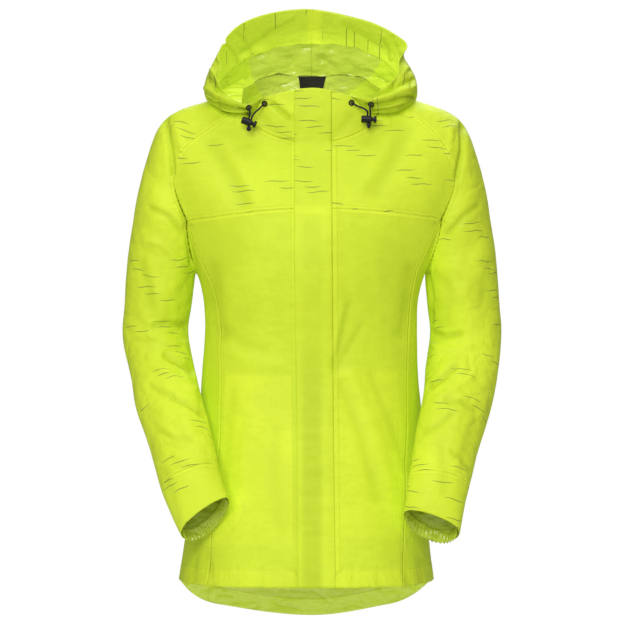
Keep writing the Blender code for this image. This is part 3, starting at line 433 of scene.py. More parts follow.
# Each leg of the hood cord: from its eyelet, through the lock, to the knot they share.
cordLegs = {
    "diameter": 0.0026,
    "outer_right": (
        (-0.08836, -0.08038, -0.01549), (-0.08753, -0.08295, -0.0168), (-0.08663, -0.08416, -0.02056),
        (-0.08648, -0.081, -0.02628), (-0.08785, -0.081, -0.03004), (-0.0889, -0.081, -0.0400),
        (-0.0880, -0.081, -0.0454),
    ),
    "inner_right": (
        (-0.06604, -0.07349, -0.00953), (-0.0668, -0.07631, -0.01023), (-0.07216, -0.07969, -0.01593),
        (-0.08291, -0.081, -0.02758), (-0.08428, -0.081, -0.03134), (-0.0868, -0.081, -0.0400),
        (-0.0880, -0.081, -0.0454),
    ),
    "outer_left": (
        (0.0823, -0.08067, -0.01094), (0.0814, -0.08322, -0.01224), (0.08072, -0.08433, -0.01621),
        (0.08124, -0.081, -0.02242), (0.0811, -0.081, -0.02642), (0.0803, -0.081, -0.0362),
        (0.0790, -0.081, -0.0411),
    ),
    "inner_left": (
        (0.05488, -0.07419, -0.00848), (0.05564, -0.07708, -0.00882), (0.0627, -0.08027, -0.0131),
        (0.07744, -0.081, -0.02229), (0.0773, -0.081, -0.02629), (0.0777, -0.081, -0.0362),
        (0.0790, -0.081, -0.0411),
    ),
}
fineSteps = 400  # along a cord before its points are evened out


def wayAlong(points):  # the way along a line to each of its points
    return np.concatenate(([0], np.cumsum(np.linalg.norm(np.diff(points, axis=0), axis=1))))


def smoothLine(points, count):  # evenly spaced points on the smooth line through a few
    points = np.array(points, float)
    reach = wayAlong(points)
    slopes = np.gradient(points, reach, axis=0)
    at = np.linspace(0, reach[-1], fineSteps)
    below = np.clip(np.searchsorted(reach, at) - 1, 0, len(reach) - 2)
    gap = (reach[below + 1] - reach[below])[:, None]
    s = (at[:, None] - reach[below][:, None]) / gap
    start, end = points[below], points[below + 1]
    line = start + (3 * s**2 - 2 * s**3) * (end - start)
    line += gap * ((s**3 - 2 * s**2 + s) * slopes[below] + (s**3 - s**2) * slopes[below + 1])
    walked = wayAlong(line)
    even = np.linspace(0, walked[-1], count)
    return np.stack([np.interp(even, walked, line[:, k]) for k in range(3)], axis=1), walked[-1]


def makeCord(leg):
    side = leg.split("_")[1]
    line, length = smoothLine(cordLegs[leg], 24)
    curve = bpy.data.curves.new("hoodCord_" + leg, "CURVE")
    curve.dimensions = "3D"
    curve.bevel_depth = cordLegs["diameter"] / 2
    curve.bevel_resolution = 4
    curve.use_fill_caps = True
    spline = curve.splines.new("POLY")
    spline.points.add(len(line) - 1)
    for point, at in zip(spline.points, line):
        point.co = (*at, 1)
    cord = addObject("hoodCord_" + leg, curve)
    curve.materials.append(finishes["cord"])
    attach(cord, "jacket")
    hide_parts("cord_" + leg)
    onIt = [nodes["lock_barrel_" + side], nodes["lock_plunger_" + side], nodes["cord_knot_" + side]]


for leg in ("outer_right", "inner_right", "outer_left", "inner_left"):
    makeCord(leg)
print("cords made")

# Cloth pieces: the node, which way its outside faces, or None where it goes round, and its finish.
frontwards, backwards = (0, -1, 0), (0, 1, 0)
clothPieces = {}
for side, out in (("right", -1), ("left", 1)):
    clothPieces.update({
        "front_yoke_" + side: (frontwards, "printed"),
        "front_lower_" + side: (frontwards, "plain"),
        "side_panel_" + side: ((out, 0, 0), "plain"),
        "sleeve_front_" + side: (frontwards, "printed"),
        "sleeve_back_" + side: (backwards, "printed"),
        "cuff_" + side: (None, "printed"),
        "collar_" + side: (frontwards, "printed"),
        "hood_" + side: (None, "hood"),
    })
clothPieces["back_panel"] = (backwards, "plain")
bodyPieces = list(clothPieces)
for side in ("right", "left"):
    clothPieces["hood_facing_" + side] = (None, "facing")
    clothPieces["pocket_bag_" + side] = (frontwards, "inside")
    clothPieces["cuff_elastic_" + side] = (backwards, "plain")
clothPieces["storm_flap"] = (frontwards, "printed")
clothPieces["front_zip"] = (frontwards, "plain")
clothPieces["neck_label"] = (backwards, "label")
pieceNames = list(clothPieces)
cloth = {
    "hoodMiddle": (0, 0.045, 0.035),
    "cadWalls": {"facing": 0.0012, "pocket": 0.001, "elastic": 0.0012, "label": 0.001, "other": 0.0016},
    "samePoint": 0.00001,
    "rimMatch": 0.000006,  # how near to the wall's thickness the length of a rim's edge is
    "weld": 0.0010,
    "cuffRows": 3,  # edges from the top of a cuff to its end
    "cuffDown": (0, -0.25, -0.97),
    "smoothing": (5, 4, 3),  # rounds after each of three subdivisions
    "shares": (0.5, -0.53),  # of a step: in, and back out again
    "cornerBend": 0.19,
    "wall": {"storm_flap": 0.0010, "neck_label": 0.0006, "hood_facing": 0.0005},
    "plainWall": 0.0008,
    "seamWall": 0.1,  # of its thickness, on a seam
    "facingOut": 1.15,  # mm that the facing lies nearer its hood
    "flapSink": (1.3, 329, 335),  # mm at the stitched edge, and from where to where in photo points across
    "slack": (0.55, 0.16),  # mm, of slow and of quick waves
    "rippleHalf": 2.4,  # photo points
}


def outerSkin(name):
    # The outside of a cloth solid. Faces with an edge as long as the wall is thick are its rim, and without
    # them the two sides of the wall come apart.
    bm = bmesh.new()
    bm.from_mesh(nodes[name].data)
    bmesh.ops.remove_doubles(bm, verts=bm.verts, dist=cloth["samePoint"])
    thick = next((wall for key, wall in cloth["cadWalls"].items() if key in name), cloth["cadWalls"]["other"])
    rim = {edge for edge in bm.edges if abs(edge.calc_length() - thick) < cloth["rimMatch"]}
    bmesh.ops.delete(bm, geom=[face for face in bm.faces if rim & set(face.edges)], context="FACES")
    bm.faces.index_update()
    facing = clothPieces[name][0]
    middle = Vector(cloth["hoodMiddle"])
    if "cuff" in name:
        middle = sum((v.co for v in bm.verts), Vector()) / len(bm.verts)
    groups, seen = [], set()
    for first in bm.faces:
        if first.index in seen:
            continue
        seen.add(first.index)
        group, waiting = [], [first]
        while waiting:
            face = waiting.pop()
            group.append(face)
            for other in (near for edge in face.edges for near in edge.link_faces):
                if other.index not in seen:
                    seen.add(other.index)
                    waiting.append(other)
        outwards = 0
        for face in group:
            away = Vector(facing) if facing else (face.calc_center_median() - middle).normalized()
            outwards += face.calc_area() * face.normal.dot(away)
        groups.append((outwards, group))
    keep = set(max(groups, key=lambda item: item[0])[1])
    bmesh.ops.delete(bm, geom=[face for face in bm.faces if face not in keep], context="FACES")
    return bm


def joinSkins():
    # All outer skins in one mesh. The ones that are sewn to each other are welded on their seams.
    garment = bmesh.new()
    panel = garment.faces.layers.int.new("panel")
    sewn, facings = [], []
    for number, name in enumerate(pieceNames):
        skin = outerSkin(name)
        patch = bpy.data.meshes.new("patch")
        skin.to_mesh(patch)
        skin.free()
        faces, verts = len(garment.faces), len(garment.verts)
        garment.from_mesh(patch)
        bpy.data.meshes.remove(patch)
        for face in garment.faces[faces:] if faces else garment.faces[:]:
            face[panel] = number
            face.material_index = number
            face.smooth = True
        if name in bodyPieces:
            sewn += garment.verts[verts:]
        if name.startswith("hood_facing"):
            facings += garment.verts[verts:]
    for pieces in (sewn, facings):
        bmesh.ops.remove_doubles(garment, verts=[v for v in pieces if v.is_boundary], dist=cloth["weld"])
    return garment


def isNeckSeam(edge, panel):
    names = [pieceNames[face[panel]] for face in edge.link_faces]
    hoods = [name.startswith("hood") for name in names]
    return any(hoods) and not all(hoods)


def markSeams(garment):
    panel = garment.faces.layers.int["panel"]
    seam = garment.edges.layers.int.new("seamKind")  # 1 on a flat seam, 2 on a creased one, 3 on an open edge
    for edge in garment.edges:
        faces = edge.link_faces
        if len(faces) < 2:
            edge[seam] = 3
        elif len({face[panel] for face in faces}) > 1:
            edge[seam] = 2 if len(faces) > 2 or isNeckSeam(edge, panel) else 1
        edge.seam = edge[seam] > 0


def slitCuffs(garment):
    # A cuff is a ring, so it is slit beside the arm's inner seam before it is laid flat.
    panel = garment.faces.layers.int["panel"]
    for side in ("right", "left"):
        wanted = {"cuff_" + side, "sleeve_front_" + side, "sleeve_back_" + side}
        ends = [v for v in garment.verts if wanted <= {pieceNames[face[panel]] for face in v.link_faces}]
        at = min(ends, key=lambda v: abs(v.co.x))
        for _ in range(cloth["cuffRows"]):
            steps = []
            for edge in at.link_edges:
                if all("cuff" in pieceNames[face[panel]] for face in edge.link_faces):
                    steps.append((edge, (edge.other_vert(at).co - at.co).normalized()))
            best = max(steps, key=lambda item: item[1].dot(Vector(cloth["cuffDown"])))[0]
            best.seam = True
            at = best.other_vert(at)


def layFlat(obj):
    # Unwraps each piece to its real size, turned so that up on the piece is up on its cut.
    mesh = obj.data
    mesh.uv_layers.new(name="cut")
    editWhole(obj, bpy.ops.uv.unwrap, method="ANGLE_BASED", margin=0.001)
    corners = readNumbers(mesh.loops, "vertex_index", kind=int).reshape(-1, 3)
    places = readNumbers(mesh.vertices, "co", 3)
    flat = readNumbers(mesh.uv_layers["cut"].uv, "vector", 2).reshape(-1, 3, 2)
    piece = readNumbers(mesh.attributes["panel"].data, "value", kind=int)
    sizes = {}
    for number, name in enumerate(pieceNames):
        own = piece == number
        solid = places[corners[own]]
        cut = flat[own]
        edges, sides = solid[:, 1:] - solid[:, :1], cut[:, 1:] - cut[:, :1]
        area = np.linalg.norm(np.cross(edges[:, 0], edges[:, 1]), axis=1).sum() / 2
        flatArea = np.abs(sides[:, 0, 0] * sides[:, 1, 1] - sides[:, 0, 1] * sides[:, 1, 0]).sum() / 2
        spots = cut.reshape(-1, 2) * math.sqrt(area / flatArea)
        height = solid.reshape(-1, 3)[:, 2]
        fit = np.linalg.lstsq(np.column_stack((spots, np.ones(len(spots)))), height, rcond=None)[0]
        turn = math.atan2(fit[0], fit[1])
        c, n = math.cos(turn), math.sin(turn)
        spots = spots @ np.array(((c, n), (-n, c)))
        spots -= spots.mean(axis=0)
        sizes[name] = (float(np.ptp(spots[:, 0])), float(np.ptp(spots[:, 1])), float(area))
        flat[own] = (spots + (0.37 * number, 0.23 * number)).reshape(-1, 3, 2)
    mesh.uv_layers["cut"].uv.foreach_set("vector", flat.reshape(-1))
    return sizes


def neighbourMean(points, pairs, count):
    total = np.zeros_like(points)
    degree = np.bincount(pairs.reshape(-1), minlength=count)
    for near, far in (pairs.T, pairs[:, ::-1].T):
        for k in range(3):
            total[:, k] += np.bincount(near, weights=points[far, k], minlength=count)
    return total / np.maximum(degree, 1)[:, None], degree


def relax(bm, rounds):
    # Evens out the facets without shrinking. Open edges and creases move along themselves, and corners stay.
    bm.verts.index_update()
    seam = bm.edges.layers.int["seamKind"]
    pairs = np.array([(edge.verts[0].index, edge.verts[1].index) for edge in bm.edges])
    lines = pairs[np.array([edge[seam] > 1 for edge in bm.edges])]
    points = np.array([v.co[:] for v in bm.verts])
    count = len(points)
    lineMean, lineDegree = neighbourMean(points, lines, count)
    onLine = lineDegree > 0
    reach = np.zeros(count)
    for column in (0, 1):
        far = np.linalg.norm(points[lines[:, 0]] - points[lines[:, 1]], axis=1)
        reach += np.bincount(lines[:, column], weights=far, minlength=count)
    bend = np.linalg.norm(lineMean - points, axis=1) / np.maximum(reach, 1e-9)
    still = onLine & ((lineDegree != 2) | (bend > cloth["cornerBend"]))
    for _ in range(rounds):
        for share in cloth["shares"]:
            mean, _ = neighbourMean(points, pairs, count)
            lineMean, _ = neighbourMean(points, lines, count)
            mean[onLine] = lineMean[onLine]
            mean[still] = points[still]
            points = points + share * (mean - points)
    for vert, point in zip(bm.verts, points):
        vert.co = point


garment = joinSkins()
markSeams(garment)
slitCuffs(garment)
whole = bpy.data.meshes.new("garment")
garment.to_mesh(whole)
garment.free()
jacket = addObject("garment", whole)
flatSizes = layFlat(jacket)
garment = bmesh.new()
garment.from_mesh(whole)
for rounds in cloth["smoothing"]:
    bmesh.ops.subdivide_edges(garment, edges=garment.edges[:], cuts=1, use_grid_fill=True)
    relax(garment, rounds)
    seam = garment.edges.layers.int["seamKind"]
    kinds = [0, 0, 0, 0]
    for edge in garment.edges:
        kinds[edge[seam]] += 1
    print("finer:", len(garment.faces), "faces; inside, flat seam, creased seam, open:", kinds)
garment.verts.index_update()
edgeEnds, edgeKinds, edgeOwner = [], [], []
for edge in garment.edges:
    if edge[seam]:
        edgeEnds.append([v.index for v in edge.verts])
        edgeKinds.append(edge[seam])
        edgeOwner.append(edge.link_faces[0][garment.faces.layers.int["panel"]])
edgeEnds, edgeKinds, edgeOwner = np.array(edgeEnds), np.array(edgeKinds), np.array(edgeOwner)
garment.to_mesh(whole)
garment.free()
print("cloth laid flat and evened")

# Soft folds: the pieces, -1 for the front, 1 for the back or 0 for both, and for each fold its depth in mm
# (troughs are negative), its half width and its line in photo points. The back has its own, as uneven.
torso = ("front_", "side_panel", "collar", "storm_flap", "pocket_bag")
sleeves = ("sleeve", "cuff")
hoods = ("hood",)
wholeBack, backPanel = ("back", "side"), ("back",)
folds = [
    (torso, -1, (  # chest and shoulders
        (-2.4, 9, (214, 146), (228, 172), (243, 203)), (1.6, 7, (226, 140), (243, 172), (258, 206)),
        (-2.0, 9, (408, 132), (394, 160), (376, 192)), (1.3, 7, (396, 128), (380, 158), (362, 186)),
        (-4.2, 2.3, (272, 104), (280, 111), (288, 118)), (2.8, 2.6, (277, 101), (284, 107), (292, 114)),
        (-1.1, 5, (262, 118), (274, 132), (289, 141)), (-1.0, 5, (352, 116), (344, 128), (334, 138)),
    )),
    (torso, -1, (  # waist and belly
        (-2.2, 8, (212, 268), (216, 300), (222, 336)), (-2.0, 8, (412, 268), (408, 300), (402, 334)),
        (-1.4, 7, (224, 330), (240, 342), (262, 350)), (1.4, 8, (230, 352), (250, 362), (276, 364)),
        (-1.5, 5, (334, 367), (342, 336), (350, 304)), (-1.2, 4, (337, 371), (350, 346), (362, 326)),
        (1.0, 4, (335, 352), (339, 330), (343, 306)), (1.8, 8, (352, 374), (374, 428), (398, 510)),
        (-1.6, 7, (343, 384), (360, 430), (378, 500)), (-1.3, 6, (372, 376), (392, 424), (408, 470)),
        (-1.3, 7, (232, 392), (226, 440), (222, 500)), (1.2, 9, (250, 400), (243, 460), (238, 530)),
        (-1.0, 7, (276, 430), (274, 480), (280, 540)),
    )),
    (torso, -1, (  # hem and its puckers
        (-1.6, 3.2, (208, 552), (210, 570), (213, 590)), (-1.5, 3.2, (405, 556), (405, 572), (408, 590)),
        (-1.2, 3.0, (196, 558), (194, 572), (193, 582)), (0.9, 3.5, (201, 560), (201, 572), (202, 584)),
        (-1.0, 3.0, (422, 560), (421, 572), (422, 582)), (0.9, 3.5, (414, 560), (414, 572), (415, 586)),
        (-0.7, 3.0, (236, 566), (237, 576), (236, 588)), (-0.7, 3.0, (262, 568), (262, 578), (263, 588)),
        (-0.7, 3.0, (352, 566), (353, 577), (352, 588)), (-0.7, 3.0, (378, 567), (378, 577), (380, 588)),
    )),
    (sleeves, -1, (  # right sleeve
        (-3.0, 4.5, (165, 120), (170, 148), (173, 174)), (1.2, 5, (176, 126), (181, 146), (182, 165)),
        (-2.4, 5, (178, 190), (186, 222), (192, 262)), (-1.6, 5, (150, 208), (168, 216), (182, 232)),
        (1.2, 6, (146, 240), (162, 246), (180, 262)), (-2.2, 5, (154, 326), (168, 323), (186, 326)),
        (1.5, 5, (150, 336), (166, 340), (184, 344)), (-2.6, 5, (166, 355), (178, 361), (194, 372)),
        (1.5, 5, (160, 370), (176, 378), (194, 388)), (-2.0, 4.5, (172, 398), (188, 404), (206, 416)),
        (-1.5, 5, (150, 386), (160, 392), (172, 396)), (-1.2, 5, (156, 430), (172, 438), (190, 440)),
        (1.0, 6, (176, 456), (190, 462), (206, 462)), (-0.9, 9, (139, 262), (148, 282), (150, 306)),
        (0.8, 9, (150, 276), (160, 296), (164, 316)), (-0.7, 9, (184, 276), (180, 300), (184, 322)),
        (1.2, 6, (142, 318), (152, 324), (166, 330)), (-0.8, 8, (163, 470), (172, 496), (178, 522)),
        (0.8, 9, (182, 414), (192, 432), (200, 452)),
    )),
    (sleeves, -1, (  # left sleeve
        (-3.0, 4.5, (463, 120), (463, 150), (457, 178)), (1.2, 5, (452, 128), (450, 148), (446, 166)),
        (-2.4, 5, (449, 192), (438, 226), (427, 264)), (-1.6, 3.5, (428, 272), (432, 298), (431, 322)),
        (-1.5, 5, (478, 206), (464, 216), (448, 234)), (-2.2, 5, (431, 332), (444, 336), (460, 334)),
        (1.4, 5, (434, 346), (450, 350), (470, 346)), (-2.6, 5, (430, 386), (442, 378), (456, 366)),
        (1.6, 5, (436, 400), (452, 390), (470, 378)), (-1.7, 5, (448, 402), (462, 402), (476, 410)),
        (-1.4, 5, (424, 432), (440, 424), (452, 414)), (-1.2, 4.5, (452, 452), (462, 458), (470, 470)),
        (-0.8, 9, (489, 262), (484, 286), (482, 308)), (0.8, 9, (470, 272), (466, 294), (468, 316)),
        (-0.7, 9, (446, 280), (450, 302), (446, 324)), (-0.7, 9, (440, 446), (446, 468), (444, 492)),
        (-0.8, 9, (476, 420), (468, 440), (464, 462)),
    )),
    (hoods, -1, (  # hood: gathers at its opening, the roll over the shoulders, the wall behind the neck
        (-4.2, 3.2, (203, 96), (213, 103), (228, 108), (248, 112)),
        (3.0, 3.2, (205, 88), (217, 95), (232, 101), (246, 106)),
        (-4.0, 3.0, (209, 79), (216, 88), (228, 96), (246, 102)),
        (2.4, 2.6, (212, 70), (218, 80), (228, 90)),
        (-3.4, 2.6, (217, 62), (220, 76), (226, 88), (238, 98)),
        (-2.0, 2.4, (222, 110), (236, 113), (252, 116)),
        (-4.2, 3.2, (417, 97), (404, 98), (388, 103), (368, 106)),
        (3.0, 3.2, (413, 87), (400, 92), (384, 98), (370, 101)),
        (-4.0, 3.0, (412, 80), (401, 84), (388, 92), (372, 97)),
        (2.4, 2.6, (407, 68), (398, 78), (388, 86)), (-3.2, 2.6, (404, 58), (401, 72), (394, 84)),
        (-2.0, 2.4, (405, 106), (390, 110), (374, 112)),
    )),
    (hoods, 0, (
        (-2.6, 2.4, (224, 42), (232, 50), (236, 60)), (1.8, 2.4, (231, 38), (239, 46), (243, 56)),
        (-2.4, 2.4, (238, 33), (247, 42), (251, 52)), (1.6, 2.4, (247, 31), (254, 38), (258, 48)),
        (-2.6, 2.4, (384, 36), (390, 46), (392, 58)), (1.8, 2.4, (391, 38), (397, 47), (399, 58)),
        (-2.4, 2.4, (396, 42), (401, 52), (403, 64)), (-2.6, 3.5, (292, 17), (268, 30), (240, 50)),
        (1.8, 3.5, (286, 27), (268, 36), (250, 47)), (-1.8, 4, (345, 20), (366, 32), (384, 44)),
        (1.2, 4, (340, 28), (360, 38), (376, 46)),
    )),
    (hoods, 1, (
        (-3.2, 6, (322, 50), (310, 58), (300, 68)), (-3.2, 6, (322, 50), (334, 58), (343, 66)),
        (2.8, 6, (322, 58), (322, 66), (324, 76)), (2.0, 6, (276, 48), (290, 60), (296, 74)),
        (-2.2, 5, (264, 56), (274, 68), (284, 84)), (1.8, 5, (356, 48), (350, 62), (354, 78)),
        (-2.0, 5, (368, 56), (362, 70), (356, 84)),
    )),
    (wholeBack, 1, (  # back of the torso
        (-2.6, 9, (220, 150), (236, 184), (246, 220)), (-2.4, 9, (402, 146), (388, 180), (380, 222)),
        (1.6, 9, (238, 150), (256, 190), (264, 226)),
    )),
    (backPanel, 1, (
        (-2.2, 9, (262, 318), (300, 330), (346, 322)), (1.8, 9, (256, 338), (300, 350), (352, 342)),
        (-1.8, 8, (268, 362), (304, 372), (360, 360)),
    )),
    (wholeBack, 1, (
        (-2.4, 8, (214, 290), (226, 320), (232, 352)), (-2.4, 8, (408, 286), (398, 318), (392, 356)),
    )),
    (backPanel, 1, (
        (-1.6, 9, (252, 420), (246, 480), (240, 560)), (1.6, 10, (284, 430), (282, 500), (278, 580)),
        (-1.5, 9, (346, 424), (352, 490), (358, 570)), (1.4, 10, (372, 440), (378, 500), (384, 570)),
    )),
    (sleeves, 1, (  # backs of the sleeves
        (-2.4, 5, (160, 130), (166, 160), (172, 190)), (-2.4, 5, (466, 128), (460, 160), (452, 192)),
        (-1.8, 5, (150, 250), (166, 262), (184, 270)), (-1.8, 5, (476, 246), (460, 258), (440, 270)),
        (-2.2, 5, (140, 326), (158, 336), (180, 338)), (1.6, 5, (142, 344), (158, 352), (182, 356)),
        (-2.2, 5, (146, 368), (162, 376), (188, 374)), (-2.2, 5, (484, 322), (462, 332), (440, 336)),
        (1.6, 5, (484, 342), (464, 350), (438, 352)), (-2.2, 5, (484, 366), (462, 374), (440, 376)),
        (-1.5, 5, (162, 420), (178, 430), (200, 428)), (-1.5, 5, (472, 420), (456, 430), (434, 430)),
    )),
]
foldScale = {"sleeve": (2.1, 0.62), "front_": (1.2, 0.85), "back": (1.3, 0.9), "hood": (1.35, 0.85)}
# Ripples across the flap, which is sewn tighter than the front: height, the ends, depth.
flapRipples = (
    (386, 298, 318, -0.7), (402, 312, 334, -0.6), (425, 299, 322, -0.9), (433, 306, 332, 0.6),
    (441, 300, 318, -0.8), (449, 314, 335, -0.8), (461, 299, 316, -0.9), (470, 308, 333, 0.6),
    (480, 300, 320, -0.6), (496, 299, 324, -0.9), (505, 312, 335, 0.6), (515, 301, 330, -0.9),
    (526, 300, 318, -0.8), (536, 306, 335, -0.8), (548, 300, 316, -0.6),
)


def besideLine(places, line):  # how far each place is from a line through points
    away = np.full(len(places), 1e9)
    line = np.array(line, float)
    for start, end in zip(line[:-1], line[1:]):
        along = end - start
        share = np.clip((places - start) @ along / (along @ along), 0, 1)
        away = np.minimum(away, np.linalg.norm(places - start - share[:, None] * along, axis=1))
    return away


def rise(value, start, end):
    s = np.clip((value - start) / (end - start), 0, 1)
    return s * s * (3 - 2 * s)


def readMesh(mesh):
    places, normals = readNumbers(mesh.vertices, "co", 3), readNumbers(mesh.vertex_normals, "vector", 3)
    corners = readNumbers(mesh.loops, "vertex_index", kind=int)
    owner = readNumbers(mesh.attributes["panel"].data, "value", kind=int)
    belongs = np.zeros((len(mesh.vertices), len(pieceNames)), bool)
    belongs[corners, np.repeat(owner, 3)] = True
    return places, normals, belongs


def partOf(belongs, *starts):
    chosen = [number for number, name in enumerate(pieceNames) if name.startswith(starts)]
    return belongs[:, chosen].any(axis=1)


def foldCloth(mesh):
    places, normals, belongs = readMesh(mesh)
    on = partial(partOf, belongs)
    spots = photoPlace(places)
    toFront, toBack = rise(-normals[:, 1], 0.0, 0.35), rise(normals[:, 1], 0.0, 0.35)
    sides = {-1: toFront, 0: np.ones(len(places)), 1: toBack}
    depth, trough = np.zeros(len(places)), np.zeros(len(places))
    for starts, way, lines in folds:
        own = on(*starts)
        deeper, narrower = foldScale[starts[0]]
        for deep, half, *line in lines:
            near = own.copy()
            farthest = np.ptp(line, axis=0) / 2 + 3 * half + 2
            near[near] = (np.abs(spots[near] - np.mean(line, axis=0)) < farthest).all(axis=1)
            away = besideLine(spots[near], line) / (half * narrower)
            push = deep * deeper * np.exp(-(away**2)) * sides[way][near]
            depth[near] += push
            trough[near] += np.minimum(push, 0)
    front = on("storm_flap", "front_", "collar")
    for height, left, right, deep in flapRipples:
        inside = rise(spots[:, 0], left - 4, left + 2) * (1 - rise(spots[:, 0], right - 2, right + 5))
        ripple = np.exp(-(((spots[:, 1] - height) / cloth["rippleHalf"]) ** 2))
        depth += front * toFront * inside * deep * ripple
    # slack that isn't a fold: slow waves, a little different everywhere
    x, y, z = (places * 1000).T
    slow = np.sin(x / 23 + 1.7 * np.sin(z / 41 + 1)) * np.sin(z / 37 + 1.3 * np.sin(y / 29 + x / 53))
    quick = np.sin(x / 11 + 2 * np.sin(z / 17)) * np.sin(z / 14 + 1.5 * np.sin(y / 13))
    slowDeep, quickDeep = cloth["slack"]
    depth += slowDeep * slow + quickDeep * quick
    depth[on("neck_label", "front_zip", "cuff_elastic")] = 0
    sink, start, end = cloth["flapSink"]
    depth -= sink * on("storm_flap") * rise(spots[:, 0], start, end)
    depth += cloth["facingOut"] * on("hood_facing")
    mesh.vertices.foreach_set("co", (places + normals * depth[:, None] * 0.001).reshape(-1))
    mesh.update()
    return trough


measuring = {
    "farthest": 0.05,  # metres from a seam or edge, past which all is the same
    "longestStep": 0.02,  # metres along one edge, so that a closed seam doesn't run backwards at its end
    "onSeam": 0.0004,
}


def walkLines(ends):
    # Chains the seam edges and gives every vertex on them its distance along its seam.
    near = {}
    for a, b in ends.tolist():
        near.setdefault(a, []).append(b)
        near.setdefault(b, []).append(a)
    run, used = {}, set()
    starts = sorted(near, key=lambda v: (len(near[v]) == 2, v))
    for start in starts:
        for step in near[start]:
            before, at, gone = start, step, 0.0
            run.setdefault(start, 0.0)
            while (before, at) not in used:
                used |= {(before, at), (at, before)}
                gone += float(np.linalg.norm(spotsNow[at] - spotsNow[before]))
                run.setdefault(at, gone)
                if len(near[at]) == 2:
                    before, at = at, near[at][0] if near[at][0] != before else near[at][1]
    return run


def awayFromLines(ends, wanted):
    # Distance to the nearest of these edges and the place along it, for the wanted vertices.
    run, reach = walkLines(ends), measuring["farthest"]
    tree = KDTree(len(ends) * 3)
    runs = []
    for a, b in ends.tolist():
        for share in (0.0, 0.33, 0.67):
            tree.insert(spotsNow[a] + share * (spotsNow[b] - spotsNow[a]), len(runs))
            ahead = run[b] - run[a]
            runs.append(run[a] + share * (ahead if abs(ahead) < measuring["longestStep"] else 0))
    tree.balance()
    away, along = np.full(len(spotsNow), reach), np.zeros(len(spotsNow))
    for vertex in np.flatnonzero(wanted).tolist():
        _, number, distance = tree.find(spotsNow[vertex])
        away[vertex] = min(distance, reach)
        along[vertex] = runs[number]
    return away, along


# Where the front lies double and so looks brighter: outline in photo points, softness, strength.
brightAreas = (
    (((226, 375), (292, 375), (294, 545), (222, 545), (219, 470), (222, 430)), 2.5, 1.0),
    (((334, 368), (398, 371), (404, 430), (408, 540), (336, 540)), 4.0, 0.75),
)
# The hood's facing is seen all round this outline.
facingInside = (
    (260, 43), (385, 43), (381, 62), (372, 75), (361, 83), (346, 93), (330, 100), (290, 104), (265, 98),
    (258, 90), (252, 78), (248, 62), (247, 50),
)
# Light and shade, in photo points down the jacket: one height, or from where to where a thing comes in. What
# is named Across is a middle and a half width across it, and the elbow a middle and a half height.
shading = {
    "pockets": 350, "pocketsFade": (490, 560),
    "flapTop": (190, 216), "flapTurn": ((205, 207), (213, 215)),
    "flapMiddleAcross": (312, 10), "flapMiddle": ((210, 230), (300, 440)),
    "flapShadowAcross": (296.3, 1.8), "flapShadow": (112, 130), "flapUnprinted": (206, 210),
    "sides": (400, 580), "hood": (45, 75), "facingEnd": 104, "tapeAcross": (314.5, 6.5), "tapeEnd": 44,
    "armsLining": 450, "armsTop": (150, 300), "armsEnd": (480, 530), "elbow": (370, 60), "hem": (540, 590),
}


def insideOutline(spots, outline):  # signed distance, positive inside
    outline = np.array(outline, float)
    closed = np.concatenate((outline, outline[:1]))
    away = besideLine(spots, closed)
    x, y = spots.T
    inside = np.zeros(len(spots), bool)
    for (ax, ay), (bx, by) in zip(closed[:-1], closed[1:]):
        crosses = (ay > y) != (by > y)
        inside ^= crosses & (x < (bx - ax) * (y - ay) / ((by - ay) if by != ay else 1e-9) + ax)
    return np.where(inside, away, -away)


